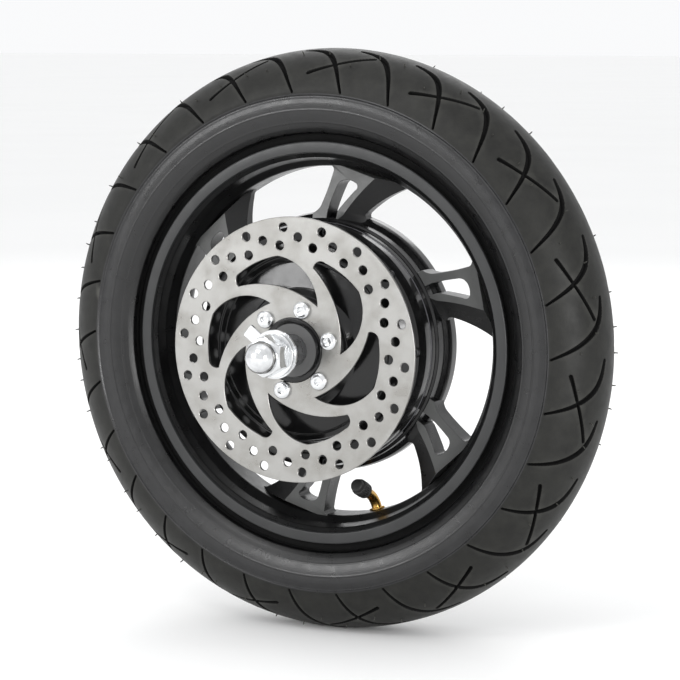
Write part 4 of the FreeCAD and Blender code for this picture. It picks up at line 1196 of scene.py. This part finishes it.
def make_axle_ends():
    top = reach("acorn_nut", 1, 0)
    base = reach("acorn_nut", 1, 1)
    levels = hex_nut_levels(base, -1, 10.0, THREAD_R)
    neck = base - 10.0
    levels += [(9.3, neck), (8.75, neck - 0.15), (8.5, neck - 0.5), (8.5, top + 8.5)]
    for k in range(1, 13):
        a = math.radians(90 * k / 12)
        levels.append((max(0.05, 8.5 * math.cos(a)), top + 8.5 - 8.5 * math.sin(a)))
    levels += [(0.05, top + 4.0), (THREAD_R - 0.3, top + 4.5), (THREAD_R, top + 5.0)]
    stacked(levels, steps=96, closed=True).make(
        "domed_axle_nut", [ZINC], "axle", "zinc", ["acorn_nut"], crease=25
    )
    base = reach("cable_side_nut", 1, 0)
    levels = hex_nut_levels(base, 1, 10.0, THREAD_R)
    levels.append((THREAD_R, base + 10.0))
    stacked(levels, steps=96, closed=True).make(
        "hexagonal_axle_nut", [ZINC], "axle", "zinc", ["cable_side_nut"], crease=25
    )
    for side in ("disc", "cable"):
        low, high = reach(f"{side}_side_tab_washer", 1, 0), reach(f"{side}_side_tab_washer", 1, 1)
        washer = plate(tab_washer_outline(), [double_d()], low, high, 0.25, 0.15)
        washer.make(
            f"{side}_side_tongued_washer", [ZINC], "axle", "zinc", [f"{side}_side_tab_washer"], crease=25
        )
        low, high = reach(f"{side}_side_washer", 1, 0), reach(f"{side}_side_washer", 1, 1)
        outline = [(THREAD_R, low, 0.2), (12.0, low, 0.4), (12.0, high, 0.4), (THREAD_R, high, 0.2)]
        Form().lathe(rounded(outline), 96).make(
            f"{side}_side_round_washer", [ZINC], "axle", "zinc", [f"{side}_side_washer"]
        )
    low, high = reach("cable_boot", 1, 0), reach("cable_boot", 1, 1)
    outline = [(6.0, low, 0.1), (7.4, low, 0.4), (7.4, low + 2.4, 0.3)]
    for k in range(3):
        y = low + 2.4 + 1.9 * k
        outline += [(6.7, y + 0.2, 0.2), (6.7, y + 0.8, 0.2), (7.4, y + 1.0, 0.3), (7.4, y + 1.9, 0.3)]
    outline += [(6.6, high, 0.8), (3.5, high, 0.3), (3.5, AXLE_END, 0.05), (6.0, AXLE_END, 0.05)]
    Form().lathe(rounded(outline), 96).make(
        "ribbed_cable_boot", [BLACK_RUBBER], "axle", "black_rubber", ["cable_boot"]
    )


# ---------------------------------------------------------------- valve

VALVE_TURN = -75.0
VALVE_FOOT = 104.2
VALVE_CORNER = 87.5
VALVE_LEAN = 28.0
VALVE_BEND = 9.0
VALVE_LENGTH = 18.0
CAP_START = 10.5
CAP_END = 20.8


def valve_place(out, along):
    """A point in the valve's plane: distance from the axle, and place along Y."""
    return Vector(at(out, VALVE_TURN, along))


def swept(path, section, steps=40):
    """A tube along a path in the valve's plane; section gives its radius from (distance, degrees)."""
    across = Vector((math.sin(math.radians(VALVE_TURN)), 0, -math.cos(math.radians(VALVE_TURN))))
    rings = []
    travelled = 0.0
    for i, middle in enumerate(path):
        ahead = path[min(i + 1, len(path) - 1)] - path[max(i - 1, 0)]
        ahead.normalize()
        if i:
            travelled += (middle - path[i - 1]).length
        side = ahead.cross(across).normalized()
        ring = []
        for a in spread(steps):
            r = section(travelled, a)
            turn = math.radians(a)
            ring.append(tuple(middle + (across * math.cos(turn) + side * math.sin(turn)) * r))
        rings.append(ring)
    return rings


def make_valve():
    lean = math.radians(VALVE_LEAN)
    corner = valve_place(VALVE_CORNER, 0)
    onward = (valve_place(VALVE_CORNER - math.sin(lean), -math.cos(lean)) - corner).normalized()
    inward = (corner - valve_place(VALVE_FOOT, 0)).normalized()
    turn = inward.angle(onward)
    setback = VALVE_BEND * math.tan(turn / 2)
    start = corner - inward * setback
    bisector = (onward - inward).normalized()
    centre = corner + bisector * (VALVE_BEND / math.cos(turn / 2))
    path = [valve_place(VALVE_FOOT - 0.25 * k, 0) for k in range(int((VALVE_FOOT - VALVE_CORNER - setback) / 0.25))]
    straight = len(path) * 0.25
    for k in range(15):
        share = k / 14
        arm = (start - centre).normalized().slerp((corner + onward * setback - centre).normalized(), share)
        path.append(centre + arm * VALVE_BEND)
    count = 60
    for k in range(1, count + 1):
        path.append(corner + onward * (setback + (VALVE_LENGTH - setback) * k / count))

    def stem(distance, degrees):
        if 3.0 < distance < straight - 1.0:
            turns = (distance / 0.8 - degrees / 360.0) % 1.0
            return 3.0 - 0.3 * abs(1 - 2 * turns)
        tail = 21.2 - setback + VALVE_BEND * turn + CAP_START - setback
        if distance > tail - 2.4:
            return 3.0 - (0.3 if distance < tail - 1.9 else 0.0)
        return 2.75

    rings = swept(path, stem)
    end = path[-1]
    bore = []
    for depth, radius in ((0.0, 1.6), (0.5, 1.1), (5.0, 1.1)):
        middle = end - onward * depth
        bore.append(swept([middle - onward * -0.01, middle], lambda d, a, r=radius: r)[-1])
    across = Vector(rings[-1][0]) - end
    bore = []
    side = onward.cross(across.normalized())
    for depth, radius in ((0.0, 1.6), (0.5, 1.1), (5.0, 1.1)):
        middle = end - onward * depth
        bore.append(
            [tuple(middle + (across.normalized() * math.cos(math.radians(a)) + side * math.sin(math.radians(a))) * radius)
             for a in spread(40)]
        )
    Form().loft(rings + bore).make("bent_valve_stem", [BRASS], "wheel", "brass", ["valve_stem"])

    base = valve_place(reach_radius_inner(), 0)
    levels = [(3.02, 0.0), (3.5, 0.0)]
    for depth, share in ((0.0, 0.0), (0.08, 0.4), (0.18, 0.75), (0.3, 1.0)):
        levels.append(((3.65, 3.6 + 0.6 * share), depth))
    for depth, share in ((0.3, 1.0), (0.18, 0.75), (0.08, 0.4), (0.0, 0.0)):
        levels.append(((3.65, 3.6 + 0.6 * share), 1.2 - depth))
    levels += [(3.02, 1.2)]
    placed_along(levels, base, inward, 48, closed=True).make(
        "hexagonal_valve_nut", [BRASS], "wheel", "brass", ["valve_nut"]
    )

    def knurl(radius, depth, lobes=24):
        return lambda a: radius - depth * (0.5 - 0.5 * math.cos(math.radians(a * lobes)))

    length = CAP_END - CAP_START
    outside = [(3.25, 0.0), (4.1, 0.0), (4.3, 0.15), (4.3, 0.9), (4.0, 1.1), (4.0, 1.4)]
    outside += [(knurl(4.15, 0.1), 1.5), (knurl(4.5, 0.45), 1.9), (knurl(4.5, 0.45), length - 3.4)]
    outside += [(knurl(4.15, 0.1), length - 3.0), (3.7, length - 2.8), (3.55, length - 2.4)]
    outside += [(3.5, length - 0.8), (3.2, length - 0.25), (2.6, length), (0.1, length)]
    inside_levels = [(0.1, length - 1.4), (2.9, length - 1.4), (3.05, length - 1.8), (3.05, 0.3)]
    placed_along(outside + inside_levels, corner + onward * CAP_START, onward, 144, closed=True).make(
        "ribbed_valve_cap", [CAP], "wheel", "cap_plastic", ["valve_cap"], crease=40
    )


def reach_radius_inner():
    """Where the valve nut's outer face sits on the barrel."""
    return 94.2


def placed_along(levels, base, direction, steps, closed=False):
    """Sections joined along any direction."""
    across = direction.cross(Vector((0.3, 0.2, 0.9))).normalized()
    side = direction.cross(across)
    rings = []
    for shape, distance in levels:
        ring = []
        for a in spread(steps):
            r = shape(a) if callable(shape) else outline_radius(shape, a)
            turn = math.radians(a)
            ring.append(tuple(base + direction * distance + (across * math.cos(turn) + side * math.sin(turn)) * r))
        rings.append(ring)
    return Form().loft(rings, closed=closed)


# ---------------------------------------------------------------- CAD parts kept as they are


FINISHES = {
    "inner_tube": BLACK_RUBBER,
    "rim_tape": TAPE,
    "back_iron": BLACK_STEEL,
    "magnets": MAGNET,
    "stator_core": LAMINATION,
    "windings": COPPER,
    "stator_spider": ALUMINIUM,
    "axle_key": BLACK_STEEL,
    "hall_board": BOARD,
    "board_standoffs": BRASS,
    "phase_leads": SLEEVE,
    "valve_pin": BRASS,
}
SIDED_FINISHES = {
    "gasket": TAPE,
    "seal": BLACK_RUBBER,
    "inner_race": BEARING_STEEL,
    "outer_race": BEARING_STEEL,
    "circlip": SPRING_STEEL,
    "shields": BEARING_STEEL,
    "balls": BEARING_STEEL,
    "cage": BRASS,
}


def finish_kept_parts():
    """Give every CAD node that stays its own finish."""
    finishes = dict(FINISHES)
    for side in ("disc", "cable"):
        for part, material in SIDED_FINISHES.items():
            finishes[f"{side}_side_{part}"] = material
    for name, material in finishes.items():
        for slot in nodes[name].material_slots:
            slot.material = material


# ---------------------------------------------------------------- studio


VIEW_AZIMUTH = 25.5
VIEW_ELEVATION = 6.44
VIEW_DISTANCE = 1.491
LENS = 146.0
PALE = (0.97, 0.97, 0.965)


def view_direction(azimuth, elevation):
    """The way from the wheel to a viewer, azimuth 0 being from -Y and turning towards +X."""
    a, e = math.radians(azimuth), math.radians(elevation)
    return Vector((math.sin(a) * math.cos(e), -math.cos(a) * math.cos(e), math.sin(e)))


def aim(thing, place, target):
    thing.location = place
    thing.rotation_euler = (Vector(target) - Vector(place)).to_track_quat("-Z", "Y").to_euler()


def soft_box(name, azimuth, elevation, distance, width, height, power):
    lamp = bpy.data.lights.new(name, "AREA")
    lamp.shape = "RECTANGLE"
    lamp.size = width
    lamp.size_y = height
    lamp.energy = power
    thing = bpy.data.objects.new(name, lamp)
    thing.visible_camera = False
    bpy.context.scene.collection.objects.link(thing)
    aim(thing, view_direction(azimuth, elevation) * distance, (0, 0, 0))


def make_studio():
    mesh = bpy.data.meshes.new("floor")
    half = 30.0
    low = -TYRE_R * MM
    mesh.from_pydata([(-half, -half, low), (half, -half, low), (half, half, low), (-half, half, low)], [], [(0, 1, 2, 3)])
    paint = Paint("studio_floor", PALE, 0.75, specular=0.25)
    paint.colour(paint.ramp(paint.noise(400, 2), tuple(c * 0.985 for c in PALE), PALE))
    mesh.materials.append(paint.done())
    floor = bpy.data.objects.new("floor", mesh)
    bpy.context.scene.collection.objects.link(floor)
    world = bpy.data.worlds.new("studio")
    world.use_nodes = True
    background = world.node_tree.nodes["Background"]
    background.inputs["Color"].default_value = (0.985, 0.99, 1.0, 1)
    background.inputs["Strength"].default_value = 0.97
    bpy.context.scene.world = world
    bpy.context.scene.view_settings.view_transform = "Standard"
    soft_box("key_light", -30, 14, 2.0, 0.7, 0.5, 11)
    soft_box("front_light", -8, 46, 2.0, 0.8, 0.6, 6)
    soft_box("side_light", 52, 0, 2.0, 0.4, 0.9, 20)
    soft_box("top_light", 10, 84, 1.7, 1.6, 1.0, 2)
    soft_box("back_light", 200, 35, 2.0, 1.4, 1.2, 8)
    camera = bpy.data.objects.new("camera", bpy.data.cameras.new("camera"))
    camera.data.lens = LENS
    camera.data.sensor_width = 36
    bpy.context.scene.collection.objects.link(camera)
    aim(camera, view_direction(VIEW_AZIMUTH, VIEW_ELEVATION) * VIEW_DISTANCE, (0.002, 0, 0))
    bpy.context.scene.camera = camera


# ---------------------------------------------------------------- the whole wheel


make_tyre()
make_rim()
make_brake_disc()
make_covers()
make_screws()
make_axle()
make_axle_ends()
make_valve()
finish_kept_parts()
make_studio()
